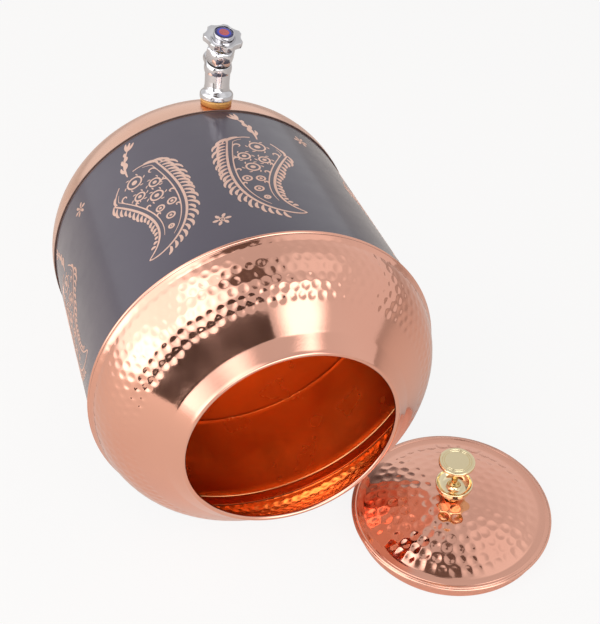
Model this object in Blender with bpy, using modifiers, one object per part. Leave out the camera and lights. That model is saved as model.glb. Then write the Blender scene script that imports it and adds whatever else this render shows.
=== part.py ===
"""Copper water dispenser pot lying on its side, with its tap and its lid taken off.

The pot is modelled standing, its axis along local +Z, and an empty lays it down with
the mouth towards world -Y. The world's origin is the middle of the pan's flat bottom.
Units are metres, world +Z is up.
"""

from math import asin, atan2, cos, pi, radians, sin, sqrt

import bmesh
import bpy
from mathutils import Matrix, Vector

# Sheet copper and fits
SHEET = 0.0008
SEAT_GAP = 0.0003
SLIDE_GAP = 0.0003
OVERRUN = 0.002
MERGE = 0.00001

# Faces round each turned body, and pieces along its curves
POT_STEPS = 44
TAP_STEPS = 24
KNOB_STEPS = 20
VALVE_STEPS = 20
SCREW_STEPS = 16
PAN_CURVE_PIECES = 7
SHOULDER_PIECES = 6
DOME_PIECES = 5
BEAD_PIECES = 5
BALL_PIECES = 7
SEAL_PIECES = 6

# Pot, heights from the flat bottom
POT_HEIGHT = 0.2413
MOUTH_RADIUS = 0.064
LIP_BEAD_RADIUS = 0.0016
LIP_BEAD_START = radians(210.0)
LIP_BEAD_END = radians(-15.0)
COLLAR_BASE_RADIUS = 0.0750
COLLAR_HEIGHT = 0.0080
NECK_FOOT_RADIUS = 0.0762
NECK_FOOT_DROP = 0.0040
CONE_TOP_RADIUS = 0.0804
CONE_TOP_DROP = 0.0088
SHOULDER_STEP = 0.0005
SHOULDER_ARC_RADIUS = 0.0416
SHOULDER_ARC_TURN = radians(60.8)
JOGGLE_LENGTH = 0.0026
SEAM_HEIGHT = 0.1847
SEAM_LAP = 0.0033
SEAM_HEM = 0.0007
SEAM_HEM_WIDTH = 0.0021
BAND_TOP_RADIUS = 0.1087
BAND_TAPER = 0.0016
PAN_EDGE_HEIGHT = 0.0384
PAN_LAP = 0.0040
PAN_CORNER_REACH = 0.0222
POT_ROLL = radians(8.0)

# Lid, heights from the surface it lies on
LID_RADIUS = 0.0660
LID_BRIM_HEIGHT = 0.0115
LID_BRIM_WIDTH = 0.0120
LID_DOME_RISE = 0.0130
LID_EDGE_RADIUS = 0.0011
LID_EDGE_START = radians(90.0)
LID_EDGE_END = radians(-150.0)
LID_COLLAR_CLEARANCE = 0.0014
LID_COLLAR_FLANGE = 0.0042
LID_COLLAR_EDGE_DROP = 0.0012
LID_ACROSS = 0.1094
LID_AHEAD = 0.0002

# Lid knob, heights from its foot
KNOB_HEIGHT = 0.0322
KNOB_DISC_RADIUS = 0.0117
KNOB_DISC_THICKNESS = 0.0026
KNOB_DISC_EDGE = 0.0007
KNOB_DISH_RADIUS = 0.0121
KNOB_DISH_HEIGHT = 0.0118
KNOB_DISH_RIM = 0.0009
KNOB_DISH_HOLLOW = 0.0022
KNOB_STEM_RADIUS = 0.0024
KNOB_FOOT_RADIUS = 0.0042
KNOB_FOOT_HEIGHT = 0.0018
KNOB_WAIST_RADIUS = 0.0033
KNOB_RING_DEPTH = 0.0003
KNOB_RING_WIDTH = 0.0006
KNOB_RING_SHARES = (0.62, 0.82)
KNOB_BOWL_SHARES = (0.25, 0.5, 0.75, 1.0)
KNOB_SCREW_RADIUS = 0.0016
KNOB_SCREW_REACH = 0.0090
KNOB_SCREW_HEAD_RADIUS = 0.0036
KNOB_SCREW_HEAD_HEIGHT = 0.0022
KNOB_WASHER_RADIUS = 0.0055
KNOB_WASHER_THICKNESS = 0.0010

# Tap inlet, distances out from the pan's wall
TAP_HEIGHT = 0.0275
SHANK_RADIUS = 0.0060
SHANK_REACH = 0.0165
INLET_BORE_RADIUS = 0.0036
FLANGE_SEAT = 0.0046
FLANGE_RADIUS = 0.0111
FLANGE_RIM = 0.0020
FLARE_HEIGHT = 0.0058
FLARE_SHARES = (0.25, 0.5, 0.75)
BARREL_RADIUS = 0.0085
BARREL_WAIST_RADIUS = 0.0082
BARREL_LENGTH = 0.0245
INLET_BORE_SHORT = 0.0008
OUTER_WASHER_RADIUS = 0.0103
WASHER_BLANK_REACH = 0.0080
INNER_WASHER_RADIUS = 0.0098
INNER_WASHER_THICKNESS = 0.0034
NUT_PLATE_RADIUS = 0.0098
NUT_PLATE_THICKNESS = 0.0010
BACK_NUT_RADIUS = 0.0100
BACK_NUT_THICKNESS = 0.0050

# Tap head, heights along its own axis from where it crosses the inlet's
HEAD_TILT = radians(20.2)
BODY_BALL_RADIUS = 0.0092
NECK_RADIUS = 0.0078
NECK_RING_RADIUS = 0.0083
NECK_RING_WIDTH = 0.0014
NECK_TOP = 0.0045
CHAMBER_RADIUS = 0.0066
SEAT_LEVEL = -0.0030
SPOUT_RADIUS = 0.0065
SPOUT_LENGTH = 0.0152
SPOUT_LEVEL = -0.0026
SPOUT_BORE_RADIUS = 0.0046
SPOUT_EDGE = 0.0008
GASKET_THICKNESS = 0.0009
GASKET_RADIUS = 0.0081
BONNET_FLATS = 0.0164
BONNET_HEX_HEIGHT = 0.0100
BONNET_CHAMFER = 0.0010
BONNET_TAIL_DEPTH = 0.0049
BONNET_CAVITY_RADIUS = 0.0056
BONNET_CAVITY_TOP = 0.0082
SPINDLE_BORE_RADIUS = 0.0040

# Valve inside the tap
VALVE_WASHER_RADIUS = 0.0052
VALVE_WASHER_THICKNESS = 0.0020
JUMPER_RADIUS = 0.0052
JUMPER_THICKNESS = 0.0016
JUMPER_STEM_RADIUS = 0.0018
JUMPER_STEM_HEIGHT = 0.0040
JUMPER_PIN_RADIUS = 0.0008
WASHER_NUT_RADIUS = 0.0018
WASHER_NUT_THICKNESS = 0.0015
JUMPER_PIN_TAIL = 0.0004
SPINDLE_COLLAR_RADIUS = 0.0050
SPINDLE_COLLAR_HEIGHT = 0.0015
SPINDLE_SOCKET_SPARE = 0.0006
SPINDLE_SQUARE = 0.0046
SPINDLE_SQUARE_HEIGHT = 0.0050
SEAL_GROOVE_DEPTH = 0.0011
SEAL_GROOVE_WIDTH = 0.0016
SEAL_GROOVE_SHARE = 0.55
SEAL_CORD_RADIUS = 0.00045

# Handwheel
WHEEL_RADIUS = 0.0129
WHEEL_LOBES = 7
WHEEL_SCALLOP_DEPTH = 0.0021
WHEEL_TIP_SHARE = 0.30
WHEEL_TIP_SHARES = (-0.5, 0.0, 0.5)
WHEEL_SCALLOP_SHARES = (0.2, 0.4, 0.6, 0.8)
WHEEL_THICKNESS = 0.0045
WHEEL_EDGE = 0.0006
WHEEL_TURN = radians(-20.0)
HUB_HEIGHT = 0.0041
HUB_FOOT_RADIUS = 0.0062
HUB_TOP_RADIUS = 0.0074
HUB_FLOOR = 0.0011
CAP_BORE_RADIUS = 0.0053
CAP_BORE_DEPTH = 0.0020
HANDLE_SCREW_RADIUS = 0.0013
HANDLE_SCREW_REACH = 0.0065
HANDLE_SCREW_HEAD_RADIUS = 0.0032
HANDLE_SCREW_HEAD_HEIGHT = 0.0017
BEZEL_RADIUS = 0.0069
BEZEL_HEIGHT = 0.0038
BEZEL_WALL = 0.0007
BEZEL_LEDGE = 0.0012
BEZEL_SKIRT_WALL = 0.0007
BEZEL_EDGE = 0.0004
BUTTON_THICKNESS = 0.0018
BUTTON_CROWN = 0.0004
BUTTON_CROWN_SHARE = 0.75

# Heights and radii that follow from the sizes above
SHOULDER_RADIUS = BAND_TOP_RADIUS - SHOULDER_STEP
BAND_BASE_RADIUS = BAND_TOP_RADIUS - BAND_TAPER
WALL_FOOT_RADIUS = BAND_BASE_RADIUS + SEAT_GAP + SHEET
PAN_FLAT_RADIUS = WALL_FOOT_RADIUS - PAN_CORNER_REACH
PAN_CURVE_TOP = PAN_EDGE_HEIGHT - PAN_LAP - SEAT_GAP
SKIRT_RADIUS = BAND_TOP_RADIUS + SEAT_GAP + SHEET
BAND_TOP = SEAM_HEIGHT + SEAM_LAP
BAND_BASE = PAN_EDGE_HEIGHT - PAN_LAP
POT_RADIUS = SKIRT_RADIUS + SEAM_HEM
LID_COLLAR_RADIUS = MOUTH_RADIUS - LID_COLLAR_CLEARANCE
KNOB_FOOT_LEVEL = LID_BRIM_HEIGHT + LID_DOME_RISE + SEAT_GAP
KNOB_BORE_RADIUS = KNOB_SCREW_RADIUS + SEAT_GAP
WALL_HOLE_RADIUS = SHANK_RADIUS + SEAT_GAP
HEX_BASE = NECK_TOP + SEAT_GAP + GASKET_THICKNESS + SEAT_GAP
HEX_TOP = HEX_BASE + BONNET_HEX_HEIGHT
VALVE_WASHER_BASE = SEAT_LEVEL + SEAT_GAP
VALVE_WASHER_TOP = VALVE_WASHER_BASE + VALVE_WASHER_THICKNESS
JUMPER_BASE = VALVE_WASHER_TOP + SEAT_GAP
JUMPER_TOP = JUMPER_BASE + JUMPER_THICKNESS
WASHER_NUT_TOP = VALVE_WASHER_BASE - SEAT_GAP
SPINDLE_BASE = JUMPER_TOP + SEAT_GAP
HUB_BASE = HEX_TOP + SEAT_GAP
WHEEL_BASE = HUB_BASE + HUB_HEIGHT
WHEEL_TOP = WHEEL_BASE + WHEEL_THICKNESS
CAP_BORE_FLOOR = WHEEL_TOP - CAP_BORE_DEPTH
SQUARE_TOP = CAP_BORE_FLOOR - HUB_FLOOR - SEAT_GAP
SQUARE_BASE = SQUARE_TOP - SPINDLE_SQUARE_HEIGHT
SPINDLE_RADIUS = SPINDLE_BORE_RADIUS - SLIDE_GAP
BEZEL_BASE = WHEEL_TOP + SEAT_GAP
BEZEL_TOP = BEZEL_BASE + BEZEL_HEIGHT


def clear_scene():
    """Removes the objects and collections that the scene holds."""
    for thing in list(bpy.data.objects):
        bpy.data.objects.remove(thing, do_unlink=True)
    for group in list(bpy.data.collections):
        bpy.data.collections.remove(group)


def new_collection(name):
    group = bpy.data.collections.new(name)
    bpy.context.scene.collection.children.link(group)
    return group


def new_material(name, color, roughness, metallic):
    made = bpy.data.materials.new(name)
    made.use_nodes = True
    shader = made.node_tree.nodes["Principled BSDF"]
    shader.inputs["Base Color"].default_value = (*color, 1.0)
    shader.inputs["Roughness"].default_value = roughness
    shader.inputs["Metallic"].default_value = metallic
    made.diffuse_color = (*color, 1.0)
    return made


clear_scene()
PARTS = new_collection("copper_water_dispenser_pot")
CUTTERS = new_collection("cutters")

COPPER = new_material("rose_copper", (0.80, 0.46, 0.34), 0.18, 1.0)
LACQUER = new_material("dark_lacquered_copper", (0.17, 0.14, 0.17), 0.32, 0.6)
BRASS = new_material("polished_brass", (0.82, 0.66, 0.32), 0.15, 1.0)
CHROME = new_material("chrome", (0.78, 0.78, 0.80), 0.08, 1.0)
STEEL = new_material("steel", (0.55, 0.55, 0.56), 0.30, 1.0)
RAW_BRASS = new_material("turned_brass", (0.70, 0.55, 0.25), 0.35, 1.0)
AMBER_RUBBER = new_material("amber_rubber", (0.50, 0.25, 0.06), 0.55, 0.0)
BLACK_RUBBER = new_material("black_rubber", (0.03, 0.03, 0.03), 0.70, 0.0)
BLUE_PLASTIC = new_material("blue_plastic", (0.02, 0.03, 0.45), 0.25, 0.0)


def new_empty(name, parent, placement):
    empty = bpy.data.objects.new(name, None)
    PARTS.objects.link(empty)
    empty.parent = parent
    empty.matrix_local = placement
    return empty


def place(thing, collection, finish, parent):
    collection.objects.link(thing)
    thing.parent = parent
    if finish is not None:
        thing.data.materials.append(finish)
    if collection is CUTTERS:
        thing.hide_render = True
        thing.display_type = "WIRE"
    return thing


def turned(name, section, steps, finish, parent, collection=None):
    """A body turned about local Z from (radius, height) points, down its outer side.

    A section whose ends both lie on the axis is left open, and any other is closed.
    """
    mesh = bpy.data.meshes.new(name)
    points = [(radius, 0.0, height) for radius, height in section]
    edges = [(index, index + 1) for index in range(len(points) - 1)]
    on_axis = section[0][0] == 0.0 and section[-1][0] == 0.0
    if not on_axis:
        edges.append((len(points) - 1, 0))
    mesh.from_pydata(points, edges, [])
    thing = bpy.data.objects.new(name, mesh)
    place(thing, collection or PARTS, finish, parent)
    screw = thing.modifiers.new("Turn", "SCREW")
    screw.axis = "Z"
    screw.angle = 2 * pi
    screw.steps = steps
    screw.render_steps = steps
    screw.use_merge_vertices = True
    screw.merge_threshold = MERGE
    screw.use_smooth_shade = False
    return thing


def rod(name, radius, low, high, steps, finish, parent, collection=None):
    """A plain cylinder along local Z."""
    section = [(0.0, high), (radius, high), (radius, low), (0.0, low)]
    return turned(name, section, steps, finish, parent, collection)


def ring(name, inner, outer, low, high, steps, finish, parent, collection=None):
    """A plain tube along local Z."""
    section = [(outer, high), (outer, low), (inner, low), (inner, high)]
    return turned(name, section, steps, finish, parent, collection)


def prism(name, sides, radius, low, high, finish, parent, collection=None):
    """A regular prism along local Z, its first flat facing local +X."""
    mesh = bpy.data.meshes.new(name)
    shape = bmesh.new()
    bmesh.ops.create_cone(
        shape, cap_ends=True, cap_tris=False, segments=sides,
        radius1=radius, radius2=radius, depth=high - low,
    )
    turn = Matrix.Rotation(pi / sides, 4, "Z")
    lift = Matrix.Translation((0.0, 0.0, (low + high) / 2))
    shape.transform(lift @ turn)
    shape.to_mesh(mesh)
    shape.free()
    thing = bpy.data.objects.new(name, mesh)
    return place(thing, collection or PARTS, finish, parent)


def join(target, tool, operation):
    """Adds a Boolean of tool to target: UNION, DIFFERENCE or INTERSECT."""
    boolean = target.modifiers.new(tool.name, "BOOLEAN")
    boolean.operation = operation
    boolean.solver = "EXACT"
    boolean.object = tool


def inward(line, distance):
    """The parallel line at that distance on the side of the sheet's inner face."""
    moved = []
    last = len(line) - 1
    for index, point in enumerate(line):
        here = Vector(point)
        normals = []
        if index > 0:
            step = (here - Vector(line[index - 1])).normalized()
            normals.append(Vector((step.y, -step.x)))
        if index < last:
            step = (Vector(line[index + 1]) - here).normalized()
            normals.append(Vector((step.y, -step.x)))
        total = sum(normals, Vector((0.0, 0.0)))
        mitre = total * (len(normals) / total.length_squared)
        moved.append(tuple(here + mitre * distance))
    return moved


def arc(center, radius, start, end, count):
    """Points of an arc, angles measured from the radial direction."""
    points = []
    for index in range(count + 1):
        angle = start + (end - start) * index / count
        points.append((center[0] + radius * cos(angle), center[1] + radius * sin(angle)))
    return points


# Where the pot lies: its axis is horizontal, and it is rolled a little about it
LAY_DOWN = Matrix.Rotation(pi / 2, 4, "X") @ Matrix.Rotation(pi / 2, 4, "Z")
POT = new_empty("pot_lying", None, Matrix.Rotation(POT_ROLL, 4, "Y") @ LAY_DOWN)
LID_PLACE = Matrix.Translation((LID_ACROSS, LID_AHEAD - POT_HEIGHT, -POT_RADIUS))
LID = new_empty("lid_lying", None, LID_PLACE)


def pan_outline():
    """The pan's outer face, from its edge down round to the rim of the flat bottom."""
    line = [(WALL_FOOT_RADIUS, PAN_EDGE_HEIGHT)]
    for index in range(PAN_CURVE_PIECES + 1):
        angle = pi / 2 * index / PAN_CURVE_PIECES
        radius = PAN_FLAT_RADIUS + PAN_CORNER_REACH * cos(angle)
        height = PAN_CURVE_TOP - PAN_CURVE_TOP * sin(angle)
        line.append((radius, height))
    line.append((0.0, 0.0))
    return line


def build_pan():
    outer = pan_outline()
    inner = inward(outer, SHEET)
    section = [(0.0, SHEET)] + inner[-2::-1] + outer
    return turned("base_pan", section, POT_STEPS, COPPER, POT)


def build_band():
    outer = [(BAND_TOP_RADIUS, BAND_TOP), (BAND_BASE_RADIUS, BAND_BASE)]
    section = outer + inward(outer, SHEET)[::-1]
    return turned("body_wall", section, POT_STEPS, LACQUER, POT)


def shoulder_outline():
    """The outer face of neck and shoulder, from under the lip down to the seam."""
    collar_base = POT_HEIGHT - COLLAR_HEIGHT
    neck_foot = collar_base - NECK_FOOT_DROP
    cone_top = collar_base - CONE_TOP_DROP
    arc_center = (SHOULDER_RADIUS - SHOULDER_ARC_RADIUS, SEAM_HEIGHT)
    skirt_top = BAND_TOP + SEAT_GAP
    joggle_top = skirt_top + JOGGLE_LENGTH
    arc_end = asin((joggle_top - SEAM_HEIGHT) / SHOULDER_ARC_RADIUS)
    hem_top = SEAM_HEIGHT + SEAM_HEM_WIDTH
    line = [
        (COLLAR_BASE_RADIUS, collar_base),
        (NECK_FOOT_RADIUS, neck_foot),
        (CONE_TOP_RADIUS, cone_top),
    ]
    line += arc(arc_center, SHOULDER_ARC_RADIUS, SHOULDER_ARC_TURN, arc_end, SHOULDER_PIECES)
    line += [(SKIRT_RADIUS, skirt_top)]
    hem = [
        (SKIRT_RADIUS, hem_top),
        (POT_RADIUS, hem_top - SEAM_HEM),
        (POT_RADIUS, SEAM_HEIGHT + SEAM_HEM),
        (SKIRT_RADIUS, SEAM_HEIGHT),
    ]
    return line, hem


def build_shoulder():
    line, hem = shoulder_outline()
    bead_center = (MOUTH_RADIUS + LIP_BEAD_RADIUS, POT_HEIGHT - LIP_BEAD_RADIUS)
    bead_out = arc(bead_center, LIP_BEAD_RADIUS, LIP_BEAD_START, LIP_BEAD_END, BEAD_PIECES)
    sheet = [bead_out[-1]] + line + [(SKIRT_RADIUS, SEAM_HEIGHT)]
    inner = inward(sheet, SHEET)
    section = bead_out + line + hem + inner[::-1]
    return turned("shoulder", section, POT_STEPS, COPPER, POT)


def dome_outline():
    """The lid's upper face, from the knob's screw hole out to the edge bead."""
    foot = LID_RADIUS - LID_BRIM_WIDTH
    sphere = (foot ** 2 + LID_DOME_RISE ** 2) / (2 * LID_DOME_RISE)
    center = (0.0, LID_BRIM_HEIGHT + LID_DOME_RISE - sphere)
    start = pi / 2 - asin(KNOB_BORE_RADIUS / sphere)
    end = pi / 2 - asin(foot / sphere)
    return arc(center, sphere, start, end, DOME_PIECES)


def build_lid():
    line = dome_outline()
    bead_center = (LID_RADIUS - LID_EDGE_RADIUS, LID_BRIM_HEIGHT - LID_EDGE_RADIUS)
    bead = arc(bead_center, LID_EDGE_RADIUS, LID_EDGE_START, LID_EDGE_END, BEAD_PIECES)
    inner = inward(line + [bead[0]], SHEET)
    section = line + bead + inner[::-1]
    turned("lid_dome", section, POT_STEPS, COPPER, LID)

    top = LID_BRIM_HEIGHT - SHEET - SEAT_GAP
    outer = LID_COLLAR_RADIUS
    edge = outer - LID_COLLAR_EDGE_DROP / 2
    section = [
        (outer, top),
        (outer, LID_COLLAR_EDGE_DROP),
        (edge, 0.0),
        (edge - SHEET, 0.0),
        (outer - SHEET, LID_COLLAR_EDGE_DROP),
        (outer - SHEET, top - SHEET),
        (outer - LID_COLLAR_FLANGE, top - SHEET),
        (outer - LID_COLLAR_FLANGE, top),
    ]
    turned("lid_collar", section, POT_STEPS, COPPER, LID)


def build_knob():
    """The turned brass knob: foot, dish, stem and a ringed disc on top."""
    foot = KNOB_FOOT_LEVEL
    top = foot + KNOB_HEIGHT
    disc_base = top - KNOB_DISC_THICKNESS
    dish = foot + KNOB_DISH_HEIGHT
    groove = KNOB_RING_DEPTH
    half_ring = KNOB_RING_WIDTH / 2
    section = [(0.0, top)]
    for share in KNOB_RING_SHARES:
        middle = share * KNOB_DISC_RADIUS
        section += [
            (middle - half_ring, top),
            (middle, top - groove),
            (middle + half_ring, top),
        ]
    section += [
        (KNOB_DISC_RADIUS - KNOB_DISC_EDGE, top),
        (KNOB_DISC_RADIUS, top - KNOB_DISC_EDGE),
        (KNOB_DISC_RADIUS, disc_base + KNOB_DISC_EDGE),
        (KNOB_DISC_RADIUS - KNOB_DISC_EDGE, disc_base),
        (2 * KNOB_STEM_RADIUS, disc_base - KNOB_DISC_EDGE),
        (KNOB_STEM_RADIUS, disc_base - KNOB_DISC_THICKNESS),
        (KNOB_STEM_RADIUS, dish),
        (2 * KNOB_STEM_RADIUS, dish - KNOB_DISH_HOLLOW),
        (KNOB_DISH_RADIUS - KNOB_DISH_RIM, dish),
        (KNOB_DISH_RADIUS, dish - KNOB_DISH_RIM),
    ]
    bowl = (dish - KNOB_DISH_RIM) - (foot + KNOB_FOOT_HEIGHT)
    spread = KNOB_DISH_RADIUS - KNOB_WAIST_RADIUS
    for share in KNOB_BOWL_SHARES:
        angle = share * pi / 2
        radius = KNOB_WAIST_RADIUS + spread * cos(angle)
        height = dish - KNOB_DISH_RIM - bowl * sin(angle)
        section.append((radius, height))
    bore = KNOB_BORE_RADIUS
    depth = KNOB_SCREW_REACH + SEAT_GAP
    section += [
        (KNOB_FOOT_RADIUS, foot + KNOB_FOOT_HEIGHT / 2),
        (KNOB_FOOT_RADIUS, foot),
        (bore, foot),
        (bore, foot + depth),
        (0.0, foot + depth),
    ]
    turned("lid_knob", section, KNOB_STEPS, BRASS, LID)

    under = LID_BRIM_HEIGHT + LID_DOME_RISE - SHEET - SEAT_GAP
    washer_base = under - KNOB_WASHER_THICKNESS
    head_top = washer_base - SEAT_GAP
    ring(
        "knob_washer", KNOB_BORE_RADIUS, KNOB_WASHER_RADIUS,
        washer_base, under, VALVE_STEPS, STEEL, LID,
    )
    head = KNOB_SCREW_HEAD_RADIUS
    section = [
        (0.0, foot + KNOB_SCREW_REACH),
        (KNOB_SCREW_RADIUS, foot + KNOB_SCREW_REACH),
        (KNOB_SCREW_RADIUS, head_top),
        (head, head_top),
        (head, head_top - KNOB_SCREW_HEAD_HEIGHT / 2),
        (head / 2, head_top - KNOB_SCREW_HEAD_HEIGHT),
        (0.0, head_top - KNOB_SCREW_HEAD_HEIGHT),
    ]
    turned("knob_screw", section, SCREW_STEPS, STEEL, LID)


# The tap stands square on the pan's curved wall
TAP_LEAN = asin((PAN_CURVE_TOP - TAP_HEIGHT) / PAN_CURVE_TOP)
WALL_RADIUS = PAN_FLAT_RADIUS + PAN_CORNER_REACH * cos(TAP_LEAN)
WALL_TILT = atan2(PAN_CORNER_REACH * sin(TAP_LEAN), PAN_CURVE_TOP * cos(TAP_LEAN))
ON_WALL = Matrix.Translation((WALL_RADIUS, 0.0, TAP_HEIGHT))
INLET = new_empty("tap_inlet", POT, ON_WALL @ Matrix.Rotation(pi / 2 + WALL_TILT, 4, "Y"))
ON_BARREL = Matrix.Translation((0.0, 0.0, BARREL_LENGTH))
HEAD = new_empty("tap_head", INLET, ON_BARREL @ Matrix.Rotation(-HEAD_TILT, 4, "Y"))


def wall_cutter(name, line):
    """Everything outside a line down the pot's inside, or inside one down its outside."""
    return turned(name, line, POT_STEPS, None, POT, CUTTERS)


def build_tap_seat(pan):
    """The wall's hole, and the washers, plate and nut that clamp the tap to the wall."""
    hole = rod(
        "wall_hole", WALL_HOLE_RADIUS, -SHANK_REACH, SHANK_REACH,
        TAP_STEPS, None, INLET, CUTTERS,
    )
    join(pan, hole, "DIFFERENCE")

    outer_washer = ring(
        "outer_washer", WALL_HOLE_RADIUS, OUTER_WASHER_RADIUS,
        -WASHER_BLANK_REACH, FLANGE_SEAT - SEAT_GAP, TAP_STEPS, AMBER_RUBBER, INLET,
    )
    outside = inward(pan_outline(), -SEAT_GAP)
    outside[-1] = (0.0, outside[-2][1])
    pan_core = [(0.0, BAND_TOP), (outside[0][0], BAND_TOP)] + outside
    join(outer_washer, wall_cutter("pan_outside", pan_core), "DIFFERENCE")

    inner_face = -SHEET - SEAT_GAP - INNER_WASHER_THICKNESS
    inner_washer = ring(
        "inner_washer", WALL_HOLE_RADIUS, INNER_WASHER_RADIUS,
        inner_face, WASHER_BLANK_REACH, TAP_STEPS, AMBER_RUBBER, INLET,
    )
    inside = inward(pan_outline(), SHEET + SEAT_GAP)
    band_inside = BAND_BASE_RADIUS - SHEET - SEAT_GAP
    band_edge = BAND_BASE - SEAT_GAP
    far = WALL_FOOT_RADIUS + SHANK_REACH
    wall_all = [(far, BAND_TOP), (far, -OVERRUN)]
    wall_all += [(inside[-2][0], -OVERRUN)] + inside[-2:1:-1]
    wall_all += [(inside[0][0], band_edge), (band_inside, band_edge), (band_inside, BAND_TOP)]
    join(inner_washer, wall_cutter("pot_inside", wall_all), "DIFFERENCE")

    plate_top = inner_face - SEAT_GAP
    plate_base = plate_top - NUT_PLATE_THICKNESS
    ring(
        "nut_plate", WALL_HOLE_RADIUS, NUT_PLATE_RADIUS,
        plate_base, plate_top, TAP_STEPS, STEEL, INLET,
    )
    nut_top = plate_base - SEAT_GAP
    nut_base = nut_top - BACK_NUT_THICKNESS
    nut = prism("back_nut", 6, BACK_NUT_RADIUS, nut_base, nut_top, RAW_BRASS, INLET)
    nut_bore = rod(
        "nut_bore", WALL_HOLE_RADIUS, nut_base - OVERRUN, nut_top + OVERRUN,
        TAP_STEPS, None, INLET, CUTTERS,
    )
    join(nut, nut_bore, "DIFFERENCE")


def build_tap_body():
    """The chromed body: shank, flared flange, barrel, ball, neck and spout, then its bores."""
    flare_top = FLANGE_SEAT + FLARE_HEIGHT
    flare_width = FLANGE_RADIUS - BARREL_RADIUS
    section = [
        (0.0, BARREL_LENGTH),
        (BARREL_RADIUS, BARREL_LENGTH),
        (BARREL_WAIST_RADIUS, (flare_top + BARREL_LENGTH) / 2),
        (BARREL_RADIUS, flare_top),
    ]
    for share in FLARE_SHARES:
        rise = share * (FLARE_HEIGHT - FLANGE_RIM)
        width = flare_width * (1 - cos(share * pi)) / 2
        section.append((BARREL_RADIUS + width, flare_top - rise))
    section += [
        (FLANGE_RADIUS, FLANGE_SEAT + FLANGE_RIM),
        (FLANGE_RADIUS, FLANGE_SEAT),
        (SHANK_RADIUS, FLANGE_SEAT),
        (SHANK_RADIUS, -SHANK_REACH),
        (0.0, -SHANK_REACH),
    ]
    body = turned("tap_body", section, TAP_STEPS, CHROME, INLET)

    ring_base = NECK_TOP - NECK_RING_WIDTH
    bulge = NECK_RING_RADIUS - NECK_RADIUS
    bulb_top = asin((ring_base - bulge) / BODY_BALL_RADIUS)
    bulb = [
        (0.0, NECK_TOP),
        (NECK_RADIUS, NECK_TOP),
        (NECK_RING_RADIUS, NECK_TOP - bulge),
        (NECK_RING_RADIUS, ring_base + bulge),
        (NECK_RADIUS, ring_base),
    ]
    bulb += arc((0.0, 0.0), BODY_BALL_RADIUS, bulb_top, -pi / 2, BALL_PIECES)
    bulb[-1] = (0.0, -BODY_BALL_RADIUS)
    join(body, turned("body_bulb", bulb, TAP_STEPS, None, HEAD, CUTTERS), "UNION")

    spout_place = Matrix.Translation((0.0, 0.0, SPOUT_LEVEL))
    half_step = Matrix.Rotation(pi / TAP_STEPS, 4, "Z")
    spout_place = spout_place @ Matrix.Rotation(pi / 2, 4, "Y") @ half_step
    spout_way = new_empty("spout_way", HEAD, spout_place)
    spout = [
        (0.0, SPOUT_LENGTH),
        (SPOUT_RADIUS - SPOUT_EDGE, SPOUT_LENGTH),
        (SPOUT_RADIUS, SPOUT_LENGTH - SPOUT_EDGE),
        (SPOUT_RADIUS, 0.0),
        (0.0, 0.0),
    ]
    join(body, turned("body_spout", spout, TAP_STEPS, None, spout_way, CUTTERS), "UNION")

    chamber = rod(
        "chamber", CHAMBER_RADIUS, SEAT_LEVEL, NECK_TOP + OVERRUN,
        TAP_STEPS, None, HEAD, CUTTERS,
    )
    join(body, chamber, "DIFFERENCE")
    bore_end = BARREL_LENGTH - INLET_BORE_SHORT
    inlet_bore = rod(
        "inlet_bore", INLET_BORE_RADIUS, -SHANK_REACH - OVERRUN, bore_end,
        TAP_STEPS, None, INLET, CUTTERS,
    )
    join(body, inlet_bore, "DIFFERENCE")
    spout_bore = rod(
        "spout_bore", SPOUT_BORE_RADIUS, CHAMBER_RADIUS - OVERRUN, SPOUT_LENGTH + OVERRUN,
        TAP_STEPS, None, spout_way, CUTTERS,
    )
    join(body, spout_bore, "DIFFERENCE")


def build_bonnet():
    ring(
        "bonnet_gasket", CHAMBER_RADIUS, GASKET_RADIUS,
        NECK_TOP + SEAT_GAP, NECK_TOP + SEAT_GAP + GASKET_THICKNESS,
        TAP_STEPS, BLACK_RUBBER, HEAD,
    )
    corner = BONNET_FLATS / 2 / cos(pi / 6)
    bonnet = prism("bonnet", 6, corner, HEX_BASE, HEX_TOP, CHROME, HEAD)
    chamfer = [
        (0.0, HEX_TOP + OVERRUN),
        (BONNET_FLATS / 2, HEX_TOP + OVERRUN),
        (BONNET_FLATS / 2, HEX_TOP),
        (corner, HEX_TOP - BONNET_CHAMFER),
        (corner, HEX_BASE + BONNET_CHAMFER),
        (BONNET_FLATS / 2, HEX_BASE),
        (BONNET_FLATS / 2, HEX_BASE - OVERRUN),
        (0.0, HEX_BASE - OVERRUN),
    ]
    join(bonnet, turned("bonnet_chamfer", chamfer, TAP_STEPS, None, HEAD, CUTTERS), "INTERSECT")
    tail = rod(
        "bonnet_tail", CHAMBER_RADIUS - SEAT_GAP, HEX_BASE - BONNET_TAIL_DEPTH,
        HEX_BASE + OVERRUN, TAP_STEPS, None, HEAD, CUTTERS,
    )
    join(bonnet, tail, "UNION")
    cavity = rod(
        "bonnet_cavity", BONNET_CAVITY_RADIUS, HEX_BASE - BONNET_TAIL_DEPTH - OVERRUN,
        BONNET_CAVITY_TOP, TAP_STEPS, None, HEAD, CUTTERS,
    )
    join(bonnet, cavity, "DIFFERENCE")
    bore = rod(
        "spindle_bore", SPINDLE_BORE_RADIUS, HEX_BASE, HEX_TOP + OVERRUN,
        TAP_STEPS, None, HEAD, CUTTERS,
    )
    join(bonnet, bore, "DIFFERENCE")


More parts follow.
